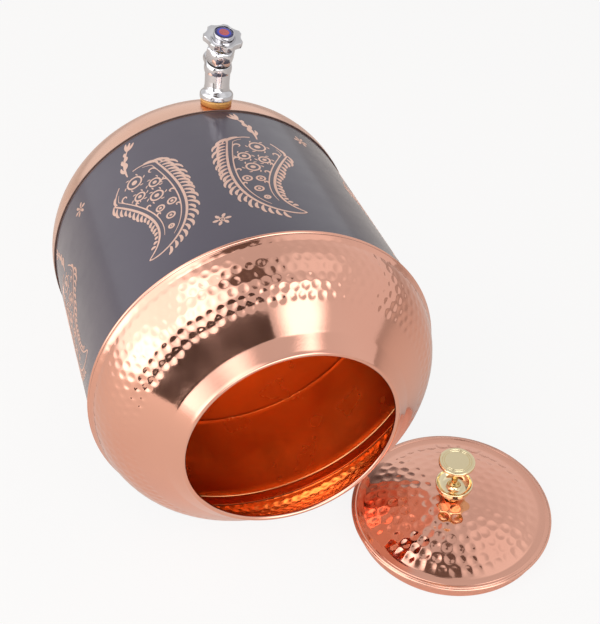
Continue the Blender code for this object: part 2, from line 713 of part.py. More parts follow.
def build_valve(lift):
    """The rising valve: its rubber washer, the jumper that carries it and the washer's nut."""
    ring(
        "valve_washer", JUMPER_PIN_RADIUS + SEAT_GAP, VALVE_WASHER_RADIUS,
        VALVE_WASHER_BASE, VALVE_WASHER_TOP, VALVE_STEPS, BLACK_RUBBER, lift,
    )
    nut_base = WASHER_NUT_TOP - WASHER_NUT_THICKNESS
    ring(
        "washer_nut", JUMPER_PIN_RADIUS + SEAT_GAP, WASHER_NUT_RADIUS,
        nut_base, WASHER_NUT_TOP, 6, RAW_BRASS, lift,
    )
    stem_top = JUMPER_TOP + JUMPER_STEM_HEIGHT
    pin_end = nut_base - JUMPER_PIN_TAIL
    section = [
        (0.0, stem_top),
        (JUMPER_STEM_RADIUS, stem_top),
        (JUMPER_STEM_RADIUS, JUMPER_TOP),
        (JUMPER_RADIUS, JUMPER_TOP),
        (JUMPER_RADIUS, JUMPER_BASE),
        (JUMPER_PIN_RADIUS, JUMPER_BASE),
        (JUMPER_PIN_RADIUS, pin_end),
        (0.0, pin_end),
    ]
    turned("jumper", section, VALVE_STEPS, RAW_BRASS, lift)


def build_spindle(turn):
    """The spindle with its seal, square drive and the jumper's socket."""
    collar_top = SPINDLE_BASE + SPINDLE_COLLAR_HEIGHT
    socket = JUMPER_STEM_RADIUS + SEAT_GAP
    socket_top = JUMPER_TOP + JUMPER_STEM_HEIGHT + SPINDLE_SOCKET_SPARE
    groove_low = collar_top + SEAL_GROOVE_SHARE * (SQUARE_BASE - collar_top)
    groove_high = groove_low + SEAL_GROOVE_WIDTH
    groove_radius = SPINDLE_RADIUS - SEAL_GROOVE_DEPTH
    section = [
        (0.0, SQUARE_TOP),
        (SPINDLE_RADIUS, SQUARE_TOP),
        (SPINDLE_RADIUS, groove_high),
        (groove_radius, groove_high),
        (groove_radius, groove_low),
        (SPINDLE_RADIUS, groove_low),
        (SPINDLE_RADIUS, collar_top),
        (SPINDLE_COLLAR_RADIUS, collar_top),
        (SPINDLE_COLLAR_RADIUS, SPINDLE_BASE),
        (socket, SPINDLE_BASE),
        (socket, socket_top),
        (0.0, socket_top),
    ]
    spindle = turned("spindle", section, TAP_STEPS, RAW_BRASS, turn)
    waste = rod(
        "drive_waste", SPINDLE_RADIUS + OVERRUN, SQUARE_BASE, SQUARE_TOP + OVERRUN,
        TAP_STEPS, None, turn, CUTTERS,
    )
    square = prism(
        "square_drive", 4, SPINDLE_SQUARE / sqrt(2), SQUARE_BASE - OVERRUN,
        SQUARE_TOP + 2 * OVERRUN, None, turn, CUTTERS,
    )
    join(waste, square, "DIFFERENCE")
    join(spindle, waste, "DIFFERENCE")
    hole = rod(
        "spindle_hole", HANDLE_SCREW_RADIUS + SEAT_GAP, CAP_BORE_FLOOR - HANDLE_SCREW_REACH,
        SQUARE_TOP + OVERRUN, SCREW_STEPS, None, turn, CUTTERS,
    )
    join(spindle, hole, "DIFFERENCE")

    middle = (groove_low + groove_high) / 2
    seal_radius = (groove_radius + SPINDLE_BORE_RADIUS) / 2
    seal = arc((seal_radius, middle), SEAL_CORD_RADIUS, pi, -pi, SEAL_PIECES)[:-1]
    turned("spindle_seal", seal, TAP_STEPS, BLACK_RUBBER, turn)


def wheel_outline():
    """The star handwheel's edge: blunt tips with hollow scallops between them."""
    pitch = 2 * pi / WHEEL_LOBES
    tip = WHEEL_TIP_SHARE * pitch
    points = []
    for lobe in range(WHEEL_LOBES):
        middle = WHEEL_TURN + lobe * pitch
        for share in WHEEL_TIP_SHARES:
            angle = middle + share * tip
            points.append((WHEEL_RADIUS, angle))
        for share in WHEEL_SCALLOP_SHARES:
            angle = middle + tip / 2 + share * (pitch - tip)
            hollow = WHEEL_SCALLOP_DEPTH * sin(share * pi)
            points.append((WHEEL_RADIUS - hollow, angle))
    return [(radius * cos(angle), radius * sin(angle)) for radius, angle in points]


def build_handwheel(turn):
    """The star wheel on its hub, bored for the spindle's square, the screw and the cap."""
    curve = bpy.data.curves.new("wheel_outline", "CURVE")
    curve.dimensions = "2D"
    curve.fill_mode = "BOTH"
    curve.extrude = WHEEL_THICKNESS / 2
    outline = wheel_outline()
    spline = curve.splines.new("POLY")
    spline.points.add(len(outline) - 1)
    for point, (across, along) in zip(spline.points, outline):
        point.co = (across, along, 0.0, 1.0)
    spline.use_cyclic_u = True
    shape = bpy.data.objects.new("wheel_outline", curve)
    PARTS.objects.link(shape)
    bpy.context.view_layer.update()
    evaluated = shape.evaluated_get(bpy.context.evaluated_depsgraph_get())
    mesh = bpy.data.meshes.new_from_object(evaluated)
    bpy.data.objects.remove(shape, do_unlink=True)
    welded = bmesh.new()
    welded.from_mesh(mesh)
    bmesh.ops.remove_doubles(welded, verts=welded.verts, dist=MERGE)
    bmesh.ops.dissolve_limit(
        welded, angle_limit=radians(1.0), verts=welded.verts, edges=welded.edges,
    )
    welded.transform(Matrix.Translation((0.0, 0.0, WHEEL_BASE + WHEEL_THICKNESS / 2)))
    welded.to_mesh(mesh)
    welded.free()
    mesh.name = "handwheel"
    wheel = bpy.data.objects.new("handwheel", mesh)
    place(wheel, PARTS, CHROME, turn)
    bevel = wheel.modifiers.new("Edge", "BEVEL")
    bevel.width = WHEEL_EDGE
    bevel.segments = 1
    bevel.limit_method = "ANGLE"
    bevel.angle_limit = radians(60.0)

    hub = [
        (0.0, WHEEL_BASE + OVERRUN),
        (HUB_TOP_RADIUS, WHEEL_BASE + OVERRUN),
        (HUB_TOP_RADIUS, WHEEL_BASE),
        (HUB_FOOT_RADIUS, WHEEL_BASE - HUB_HEIGHT / 2),
        (HUB_FOOT_RADIUS, HUB_BASE),
        (0.0, HUB_BASE),
    ]
    join(wheel, turned("hub", hub, TAP_STEPS, None, turn, CUTTERS), "UNION")
    square = prism(
        "square_hole", 4, (SPINDLE_SQUARE + 2 * SEAT_GAP) / sqrt(2),
        SQUARE_BASE, CAP_BORE_FLOOR - HUB_FLOOR, None, turn, CUTTERS,
    )
    join(wheel, square, "DIFFERENCE")
    counterbore = rod(
        "spindle_counterbore", SPINDLE_RADIUS + SEAT_GAP, HUB_BASE - OVERRUN,
        SQUARE_BASE + SEAT_GAP, TAP_STEPS, None, turn, CUTTERS,
    )
    join(wheel, counterbore, "DIFFERENCE")
    screw_hole = rod(
        "handle_screw_hole", HANDLE_SCREW_RADIUS + SEAT_GAP, SQUARE_BASE,
        WHEEL_TOP, SCREW_STEPS, None, turn, CUTTERS,
    )
    join(wheel, screw_hole, "DIFFERENCE")
    cap_bore = rod(
        "cap_bore", CAP_BORE_RADIUS, CAP_BORE_FLOOR, WHEEL_TOP + OVERRUN,
        TAP_STEPS, None, turn, CUTTERS,
    )
    join(wheel, cap_bore, "DIFFERENCE")


def build_cap(turn):
    """The handle screw, and the bezel that holds the round index button over it."""
    head_base = CAP_BORE_FLOOR + SEAT_GAP
    head_top = head_base + HANDLE_SCREW_HEAD_HEIGHT
    screw_end = CAP_BORE_FLOOR - HANDLE_SCREW_REACH + SEAT_GAP
    section = [
        (0.0, head_top),
        (HANDLE_SCREW_HEAD_RADIUS / 2, head_top),
        (HANDLE_SCREW_HEAD_RADIUS, (head_base + head_top) / 2),
        (HANDLE_SCREW_HEAD_RADIUS, head_base),
        (HANDLE_SCREW_RADIUS, head_base),
        (HANDLE_SCREW_RADIUS, screw_end),
        (0.0, screw_end),
    ]
    turned("handle_screw", section, SCREW_STEPS, STEEL, turn)

    skirt = CAP_BORE_RADIUS - SEAT_GAP
    ledge = BEZEL_BASE + BEZEL_LEDGE
    section = [
        (BEZEL_RADIUS - BEZEL_EDGE, BEZEL_TOP),
        (BEZEL_RADIUS, BEZEL_TOP - BEZEL_EDGE),
        (BEZEL_RADIUS, BEZEL_BASE),
        (skirt, BEZEL_BASE),
        (skirt, head_base),
        (skirt - BEZEL_SKIRT_WALL, head_base),
        (skirt - BEZEL_SKIRT_WALL, ledge),
        (BEZEL_RADIUS - BEZEL_WALL, ledge),
        (BEZEL_RADIUS - BEZEL_WALL, BEZEL_TOP),
    ]
    turned("button_bezel", section, TAP_STEPS, CHROME, turn)

    base = ledge + SEAT_GAP
    edge = BEZEL_RADIUS - BEZEL_WALL - SEAT_GAP
    section = [
        (0.0, base + BUTTON_THICKNESS + BUTTON_CROWN),
        (edge / 2, base + BUTTON_THICKNESS + BUTTON_CROWN_SHARE * BUTTON_CROWN),
        (edge, base + BUTTON_THICKNESS),
        (edge, base),
        (0.0, base),
    ]
    turned("index_button", section, TAP_STEPS, BLUE_PLASTIC, turn)


def build_tap(pan):
    build_tap_seat(pan)
    build_tap_body()
    build_bonnet()
    lift = new_empty("valve_lift_axis", HEAD, Matrix.Identity(4))
    build_valve(lift)
    turn = new_empty("handwheel_turn_axis", lift, Matrix.Identity(4))
    build_spindle(turn)
    build_handwheel(turn)
    build_cap(turn)


def main():
    pan = build_pan()
    build_band()
    build_shoulder()
    build_lid()
    build_knob()
    build_tap(pan)
    bpy.context.view_layer.update()


main()
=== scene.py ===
from math import asin, atan2, cos, hypot, pi, radians, sin, sqrt

import bmesh
import bpy
import numpy as np
from mathutils import Matrix, Vector

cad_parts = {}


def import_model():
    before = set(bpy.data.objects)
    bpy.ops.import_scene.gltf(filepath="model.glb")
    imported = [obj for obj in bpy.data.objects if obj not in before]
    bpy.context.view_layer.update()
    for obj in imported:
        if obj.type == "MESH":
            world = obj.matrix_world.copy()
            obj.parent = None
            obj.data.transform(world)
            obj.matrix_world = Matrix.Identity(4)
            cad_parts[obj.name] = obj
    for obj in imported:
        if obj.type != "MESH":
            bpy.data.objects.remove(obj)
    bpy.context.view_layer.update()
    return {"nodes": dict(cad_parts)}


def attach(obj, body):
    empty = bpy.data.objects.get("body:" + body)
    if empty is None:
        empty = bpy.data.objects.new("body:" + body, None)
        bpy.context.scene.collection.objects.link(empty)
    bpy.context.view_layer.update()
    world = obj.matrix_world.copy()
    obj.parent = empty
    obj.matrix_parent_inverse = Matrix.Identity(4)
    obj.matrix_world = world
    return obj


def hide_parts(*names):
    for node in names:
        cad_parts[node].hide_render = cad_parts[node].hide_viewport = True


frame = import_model()

# Profiles are in millimetres and angles in degrees, unless said. Matrices, lamps, cards and the
# camera are in metres.
MM = 0.001
SHEET = 0.8

# Places of the CAD's own frames, from the same sizes
PAN_EDGE, PAN_FLAT, PAN_CURVE, BAND_FOOT = 38.4, 86.0, 34.1, 108.2
POT_ROLL = 8.0
INLET_HEIGHT, HEAD_REACH, HEAD_LEAN, SPOUT_DROP = 27.5, 24.5, 20.2, 2.6
LID_PLACE = (0.1094, -0.2411, -0.1105)


def shifted(out, up):
    """A move along local X and Z, in millimetres."""
    return Matrix.Translation((out * MM, 0.0, up * MM))


LYING = (
    Matrix.Rotation(radians(POT_ROLL), 4, "Y")
    @ Matrix.Rotation(pi / 2, 4, "X")
    @ Matrix.Rotation(pi / 2, 4, "Z")
)
LID = Matrix.Translation(LID_PLACE)

# The tap's shank stands square on the pan's curved side, whose slope is worked out at its height
LEAN = asin((PAN_CURVE - INLET_HEIGHT) / PAN_CURVE)
WALL = PAN_FLAT + (BAND_FOOT - PAN_FLAT) * cos(LEAN)
TILT = atan2((BAND_FOOT - PAN_FLAT) * sin(LEAN), PAN_CURVE * cos(LEAN))
INLET = LYING @ shifted(WALL, INLET_HEIGHT) @ Matrix.Rotation(pi / 2 + TILT, 4, "Y")
HEAD = INLET @ shifted(0.0, HEAD_REACH) @ Matrix.Rotation(-radians(HEAD_LEAN), 4, "Y")
SPOUT = HEAD @ shifted(0.0, -SPOUT_DROP) @ Matrix.Rotation(pi / 2, 4, "Y")


# Nodes and materials
def add_node(tree, kind, values=(), **settings):
    """A new node with its settings, its inputs set to values or linked to sockets."""
    made = tree.nodes.new("ShaderNode" + kind)
    for key, value in settings.items():
        setattr(made, key, value)
    for socket, value in dict(values).items():
        if isinstance(value, bpy.types.NodeSocket):
            tree.links.new(value, made.inputs[socket])
        else:
            made.inputs[socket].default_value = value
    return made


def combined(tree, operation, first, second):
    """The result of a math node on two sockets or numbers."""
    return add_node(tree, "Math", {0: first, 1: second}, operation=operation).outputs["Value"]


class Shader:
    """A Principled material with small helpers for its nodes. Noise scales are per metre."""

    def __init__(self, name, color, metallic, roughness, **sockets):
        self.material = bpy.data.materials.new(name)
        self.material.use_nodes = True
        self.tree = self.material.node_tree
        self.base = self.tree.nodes["Principled BSDF"]
        self.base.inputs["Base Color"].default_value = (*color, 1.0)
        self.base.inputs["Metallic"].default_value = metallic
        self.base.inputs["Roughness"].default_value = roughness
        for socket, value in sockets.items():
            self.base.inputs[socket.replace("_", " ")].default_value = value
        self.material.diffuse_color = (*color, 1.0)
        self.where = self.node("TexCoord").outputs["Object"]

    def node(self, kind, values=(), **settings):
        return add_node(self.tree, kind, values, **settings)

    def noise(self, scale, detail=3.0, stretch=None):
        where = self.where
        if stretch:
            where = self.node("Mapping", {"Vector": where, "Scale": stretch}).outputs["Vector"]
        values = {"Vector": where, "Scale": scale, "Detail": detail}
        return self.node("TexNoise", values).outputs["Fac"]

    def remap(self, value, span, target):
        """The value with its span stretched over the target."""
        values = {"Value": value}
        for side, ends in (("From", span), ("To", target)):
            for end, limit in zip(("Min", "Max"), ends):
                values[side + " " + end] = limit
        return self.node("MapRange", values).outputs["Result"]

    def blend(self, factor, first, second):
        colors = {6: (*first, 1.0), 7: (*second, 1.0)}
        return self.node("Mix", {0: factor, **colors}, data_type="RGBA").outputs[2]

    def use(self, socket, value):
        self.tree.links.new(value, self.base.inputs[socket])

    def tint(self, noise, span, first, second):
        """Lets the colour drift from one to the other with the noise."""
        self.use("Base Color", self.blend(self.remap(noise, span, (0.0, 1.0)), first, second))

    def haze(self, noise, span, roughness):
        """Lets the roughness drift with the noise."""
        self.use("Roughness", self.remap(noise, span, roughness))

    def bump(self, height, strength, distance):
        values = {"Height": height, "Strength": strength, "Distance": distance}
        self.use("Normal", self.node("Bump", values).outputs["Normal"])


# Parts of a noise's values that are stretched over a whole change
MIDDLE, UPPER, WIDE = (0.35, 0.65), (0.35, 0.7), (0.3, 0.7)
# Depths of bump, in metres
FINE_BUMP, MARK_BUMP = 0.0001, 0.0002


def polished(name, color, tint, roughness, marks=0.06, stretch=None, metallic=1.0):
    """Polished metal: slow colour drift, hazy patches and fine polishing marks."""
    level = 0.5 if metallic == 1.0 else 0.0
    made = Shader(name, color, metallic, roughness[0], Specular_IOR_Level=level)
    made.tint(made.noise(scale=9.0, detail=2.0), MIDDLE, color, tint)
    made.haze(made.noise(scale=38.0, detail=4.0), UPPER, roughness)
    fine = made.noise(scale=520.0, detail=2.0, stretch=stretch)
    made.bump(fine, strength=marks, distance=MARK_BUMP)
    return made.material


def lacquer(name, color, first, second):
    """Dark lacquer with a clear coat, slightly cloudy and grained."""
    made = Shader(name, color, metallic=0.35, roughness=0.36, Coat_Weight=0.7, Coat_Roughness=0.14)
    made.tint(made.noise(scale=7.0), MIDDLE, first, second)
    made.haze(made.noise(scale=60.0, detail=4.0), UPPER, (0.32, 0.42))
    made.bump(made.noise(scale=900.0, detail=2.0), strength=0.05, distance=FINE_BUMP)
    return made.material


def rubber(name, color, other, roughness):
    made = Shader(name, color, metallic=0.0, roughness=roughness, Specular_IOR_Level=0.4)
    made.tint(made.noise(scale=300.0), MIDDLE, color, other)
    made.bump(made.noise(scale=1500.0), strength=0.15, distance=FINE_BUMP)
    return made.material


def gloss_plastic(name, color, other):
    made = Shader(name, color, metallic=0.0, roughness=0.18, Coat_Weight=0.6, Coat_Roughness=0.05)
    made.tint(made.noise(scale=200.0), WIDE, color, other)
    made.haze(made.noise(scale=900.0), WIDE, (0.14, 0.22))
    return made.material


COPPER = polished("rose_copper", (0.86, 0.46, 0.345), (0.81, 0.40, 0.295), (0.07, 0.13))
PAN_COPPER = polished(
    "satin_copper", (0.93, 0.59, 0.45), (0.89, 0.53, 0.40), (0.20, 0.30), 0.1, (1.0, 0.1, 1.0)
)
# Insides: copper whose colour is painted deeper and brighter orange, standing in for light bounced about
# inside the pot
INSIDE_PAINTED_LIGHT = polished("raw_copper_inside_painted_light", (0.99, 0.45, 0.19), (0.98, 0.39, 0.15), (0.18, 0.30), 0.1)
SHOULDER_INSIDE_PAINTED_LIGHT = polished(
    "bright_copper_inside_painted_light", (0.99, 0.49, 0.24), (0.98, 0.43, 0.19), (0.10, 0.17)
)
BRASS = polished("polished_brass", (0.90, 0.78, 0.53), (0.84, 0.70, 0.43), (0.06, 0.11), 0.03)
CHROME = polished("chrome", (0.68, 0.67, 0.69), (0.61, 0.60, 0.62), (0.05, 0.09), 0.03)
STEEL = polished("steel", (0.55, 0.55, 0.56), (0.48, 0.48, 0.50), (0.25, 0.35))
TURNED = polished(
    "turned_brass", (0.72, 0.56, 0.27), (0.64, 0.47, 0.20), (0.24, 0.34), 0.12, (1.0, 1.0, 6.0)
)
FIGURE = polished("figure_copper", (0.94, 0.64, 0.53), (0.88, 0.57, 0.46), (0.30, 0.42))
# Painted shade: dark copper for the shadowed line at the band's foot under the pan's edge, for that edge, and
# for the shoulder's groove
SHADE_LINE = polished(
    "groove_painted_shade", (0.24, 0.16, 0.14), (0.18, 0.12, 0.11), (0.45, 0.55), metallic=0.5
)
LACQUER = lacquer("dark_lacquer", (0.08, 0.065, 0.095), (0.082, 0.067, 0.096), (0.068, 0.057, 0.084))
AMBER = rubber("amber_rubber", (0.50, 0.22, 0.05), (0.40, 0.16, 0.035), 0.45)
# Painted highlight: a lighter amber for the washer's lip, standing in for the glint under the flange
AMBER_PAINTED_HIGHLIGHT = rubber("amber_lip_painted_highlight", (0.72, 0.40, 0.13), (0.62, 0.33, 0.10), 0.3)
BLACK = rubber("black_rubber", (0.03, 0.03, 0.03), (0.045, 0.045, 0.045), 0.6)
BLUE = gloss_plastic("blue_plastic", (0.03, 0.05, 0.50), (0.02, 0.035, 0.40))
NAVY = gloss_plastic("navy_plastic", (0.02, 0.012, 0.13), (0.015, 0.01, 0.09))
RED = gloss_plastic("red_plastic", (0.52, 0.09, 0.09), (0.45, 0.06, 0.065))


# Lines of a profile: points of (radius, height)
def arc(center, radius, start, end, pieces):
    """Points of an arc, angles from the radial direction."""
    turn = [radians(start + (end - start) * i / pieces) for i in range(pieces + 1)]
    return [(center[0] + radius * cos(a), center[1] + radius * sin(a)) for a in turn]


def quarter(middle, top, wide, tall, pieces, first=0):
    """A quarter of an ellipse, from its side down to its foot."""
    turn = [pi / 2 * i / pieces for i in range(first, pieces + 1)]
    return [(middle + wide * cos(a), top - tall * sin(a)) for a in turn]


def bend(start, corner, end, t):
    """The point at share t of the curve from start to end that leans to the corner."""
    weights = ((1 - t) ** 2, 2 * t * (1 - t), t * t)
    return tuple(
        weights[0] * start[k] + weights[1] * corner[k] + weights[2] * end[k] for k in (0, 1)
    )


def rounded(points, size, pieces=5):
    """The line with its inner corners rounded over that length, or half of the shorter side."""
    made = [points[0]]
    for before, here, after in zip(points, points[1:], points[2:]):
        back = hypot(before[0] - here[0], before[1] - here[1])
        ahead = hypot(after[0] - here[0], after[1] - here[1])
        reach = min(size, 0.49 * back, 0.49 * ahead)
        start = [here[k] + (before[k] - here[k]) * reach / back for k in (0, 1)]
        end = [here[k] + (after[k] - here[k]) * reach / ahead for k in (0, 1)]
        made += [bend(start, here, end, i / pieces) for i in range(pieces + 1)]
    return made + [points[-1]]


def dense(points, step):
    """The line with long pieces cut up, so that none is longer than step."""
    made = [points[0]]
    for a, b in zip(points, points[1:]):
        n = max(1, int(hypot(b[0] - a[0], b[1] - a[1]) / step + 0.999))
        made += [(a[0] + (b[0] - a[0]) * i / n, a[1] + (b[1] - a[1]) * i / n) for i in range(1, n + 1)]
    return made


def inward(line, distance):
    """The parallel line on the sheet's inner side."""
    moved = []
    for i, here in enumerate(line):
        total = Vector((0.0, 0.0))
        for a, b in ((i - 1, i), (i, i + 1)):
            if 0 <= a and b < len(line):
                step = (Vector(line[b]) - Vector(line[a])).normalized()
                total += Vector((step.y, -step.x))
        total.normalize()
        moved.append((here[0] + total.x * distance, here[1] + total.y * distance))
    return moved


def marked(line, number):
    """The line's points with the number of their material."""
    return [(r, h, number) for r, h in line]


# Meshes
WELD = 1e-7


def finished(name, verts, faces, marks, materials, place, sharp=32.0):
    """A closed mesh object, faces outward, smooth but for its sharp edges."""
    mesh = bpy.data.meshes.new(name)
    mesh.from_pydata(verts, [], faces)
    for material in materials:
        mesh.materials.append(material)
    if marks is not None:
        mesh.polygons.foreach_set("material_index", marks)
    shape = bmesh.new()
    shape.from_mesh(mesh)
    bmesh.ops.remove_doubles(shape, verts=shape.verts, dist=WELD)
    bmesh.ops.recalc_face_normals(shape, faces=shape.faces)
    for face in shape.faces:
        face.smooth = True
    for edge in shape.edges:
        if len(edge.link_faces) == 2:
            edge.smooth = edge.calc_face_angle(0.0) < radians(sharp)
    shape.to_mesh(mesh)
    shape.free()
    thing = bpy.data.objects.new(name, mesh)
    thing.matrix_world = place
    bpy.context.scene.collection.objects.link(thing)
    return thing


def lathe(name, profile, steps, materials, place, press=None, sharp=32.0):
    """Turns (radius, height[, material]) points round local Z; the loop closes itself.

    press(angles) gives how far in each point of the grid is pressed, and the way out of the
    sheet at each point of the profile.
    """
    points = [point[:2] for point in profile]
    marks = [point[2] if len(point) > 2 else 0 for point in profile]
    count = len(points)
    open_ends = points[0][0] == 0.0 and points[-1][0] == 0.0
    angles = np.linspace(0.0, 2 * pi, steps, endpoint=False)
    radius, height = [np.repeat(np.array(side)[:, None], steps, 1) for side in zip(*points)]
    if press is not None:
        push, out = press(angles)
        radius = radius - push * out[:, :1]
        height = height - push * out[:, 1:2]
    grid = np.stack([radius * np.cos(angles), radius * np.sin(angles), height], 2)
    verts = grid.reshape(-1, 3) * MM
    faces = []
    face_marks = []
    for i in range(count - 1 if open_ends else count):
        k = (i + 1) % count
        here, there = i * steps, k * steps
        for j in range(steps):
            n = (j + 1) % steps
            if points[i][0] == 0.0:
                faces.append([here, there + j, there + n])
            elif points[k][0] == 0.0:
                faces.append([here + j, there, here + n])
            else:
                faces.append([here + j, there + j, there + n, here + n])
            face_marks.append(marks[i])
    return finished(name, verts.tolist(), faces, face_marks, materials, place, sharp)


def rod(name, radius, high, low, steps, place, material=CHROME):
    """A round bar on the axis."""
    section = [(0.0, high), (radius, high), (radius, low), (0.0, low)]
    return lathe(name, section, steps, [material], place)


def settle(thing):
    """Applies the object's modifiers to its mesh."""
    bpy.context.view_layer.update()
    evaluated = thing.evaluated_get(bpy.context.evaluated_depsgraph_get())
    mesh = bpy.data.meshes.new_from_object(evaluated)
    thing.modifiers.clear()
    thing.data = mesh


def boolean(target, tool, operation="DIFFERENCE"):
    """Cuts the tool away from the target, or joins it, and removes the tool."""
    change = target.modifiers.new(tool.name, "BOOLEAN")
    change.operation = operation
    change.solver = "EXACT"
    change.object = tool
    settle(target)
    bpy.data.objects.remove(tool, do_unlink=True)


def merge(target, *tools):
    """Adds the tools' meshes to the target's, each kept closed."""
    shape = bmesh.new()
    shape.from_mesh(target.data)
    for tool in tools:
        tool.data.transform(target.matrix_world.inverted() @ tool.matrix_world)
        shape.from_mesh(tool.data)
        bpy.data.objects.remove(tool, do_unlink=True)
    shape.to_mesh(target.data)
    shape.free()


def dress(piece, body, slot, *nodes):
    """Puts the mesh in the scene's own coordinates, then lets it ride."""
    piece.data.transform(piece.matrix_world)
    piece.matrix_world = Matrix()
    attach(piece, body)
    if nodes:
        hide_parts(*nodes)


# Hammer dents
def dents(rows, reach, depth, seed, drift, shape):
    """Rows of soft round hollows, each row given as (arc length, count, share of the depth)."""
    phase_slip, sizes, depths = 0.2, (0.86, 1.1), (0.7, 1.15)
    farthest = reach * 1.2 + 4 * drift
    chance = np.random.default_rng(seed)
    table = []
    for number, (along, count, share) in enumerate(rows):
        table.append((
            along,
            count,
            (number % 2) * pi / count + chance.uniform(-phase_slip, phase_slip) * pi / count,
            chance.normal(0.0, drift, count),
            chance.normal(0.0, drift, count),
            chance.uniform(*sizes, count),
            chance.uniform(*depths, count) * share,
        ))

    def depth_at(along, radius, angles):
        """Depth at one arc length for all angles."""
        total = np.zeros(len(angles))
        for place, count, phase, slip, turn, size, press in table:
            if abs(along - place) > farthest:
                continue
            pitch = 2 * pi / count
            nearest = np.rint((angles - phase) / pitch).astype(int)
            for extra in (-1, 0, 1):
                index = (nearest + extra) % count
                center = (nearest + extra) * pitch + phase
                across = (angles - center) * radius - turn[index]
                up = along - place - slip[index]
                share = 1.0 - (across ** 2 + up ** 2) / (reach * size[index]) ** 2
                share = np.clip(share, 0.0, None)
                total = np.maximum(total, depth * press[index] * share ** shape)
        return total

    return depth_at


def hammered(points, center, place_on_arc, depth_at):
    """The press of lathe() for a sheet curved round that center.

    place_on_arc(radius, out, up, far) gives a point's arc length from its distances from the
    axis and the center, or None where the hammer doesn't reach.
    """
    normals = []
    arcs = []
    for r, h in points:
        out, up = r - center[0], h - center[1]
        far = hypot(out, up)
        normals.append((out / far, up / far))
        arcs.append(place_on_arc(r, out, up, far))

    def press(angles):
        push = np.zeros((len(points), len(angles)))
        for i, along in enumerate(arcs):
            if along is not None:
                push[i] = depth_at(along, max(points[i][0], 1.0), angles)
        return push, np.array(normals)

    return press


# Pan
def build_pan():
    """The smooth bottom: its side curves in to the flat base, with a hole for the tap's shank."""
    chamfer, hole, depth = 0.2, 6.3, 16.0
    side = quarter(PAN_FLAT, PAN_CURVE, BAND_FOOT - PAN_FLAT, PAN_CURVE, 40)
    outer = [(BAND_FOOT, PAN_EDGE)] + side + [(0.0, 0.0)]
    inner = inward(outer, SHEET)
    inside = inner[0][0]
    edge = [(inside, PAN_EDGE - chamfer / 2), (inside + chamfer, PAN_EDGE), (BAND_FOOT - chamfer, PAN_EDGE)]
    outer[0] = (BAND_FOOT, PAN_EDGE - chamfer)
    # The pan's edge, where it meets the band, takes the painted shade of that dark line
    section = marked([(0.0, SHEET)] + inner[-2:0:-1], 1) + marked(edge, 2) + marked(outer, 0)
    pan = lathe("base_pan_smooth", section, 256, [PAN_COPPER, INSIDE_PAINTED_LIGHT, SHADE_LINE], LYING)
    boolean(pan, rod("hole", hole, depth, -depth, 64, INLET, PAN_COPPER))
    dress(pan, "pot", "rose_copper", "base_pan")


# Band: lacquered outside over a line of painted shadow at its foot, with a ledge and a seam groove inside
BAND_BASE, BAND_TOP, BAND_LOW, BAND_HIGH = 107.1, 108.7, 34.4, 188.0


def band_radius(height):
    return BAND_BASE + (BAND_TOP - BAND_BASE) * (height - BAND_LOW) / (BAND_HIGH - BAND_LOW)


def build_band():
    lacquer_foot, shadow_line = 41.0, (39.7, 37.0, BAND_LOW)
    levels = [float(h) for h in np.linspace(BAND_HIGH, BAND_LOW, 25)]
    ledge, seam = (181.0, 0.42, 0.6), (107.0, -0.32, 0.9)
    section = [(band_radius(h), h, 0) for h in levels if h > lacquer_foot]
    # The foot just under the pan's edge takes painted shade, as if in that edge's shadow
    section += [(band_radius(h), h, 2) for h in shadow_line]
    inside = [(h, 0.0) for h in levels if all(abs(h - at) > half for at, _, half in (ledge, seam))]
    for at, lift, half in (ledge, seam):
        inside += [(at + half * k / 4, lift * (1 + cos(pi * k / 4)) / 2) for k in range(-4, 5)]
    section += [(band_radius(h) - SHEET - lift, h, 1) for h, lift in sorted(inside)]
    band = lathe("body_band", section, 256, [LACQUER, INSIDE_PAINTED_LIGHT, SHADE_LINE], LYING)
    dress(band, "pot", "dark_lacquered_copper", "body_wall")


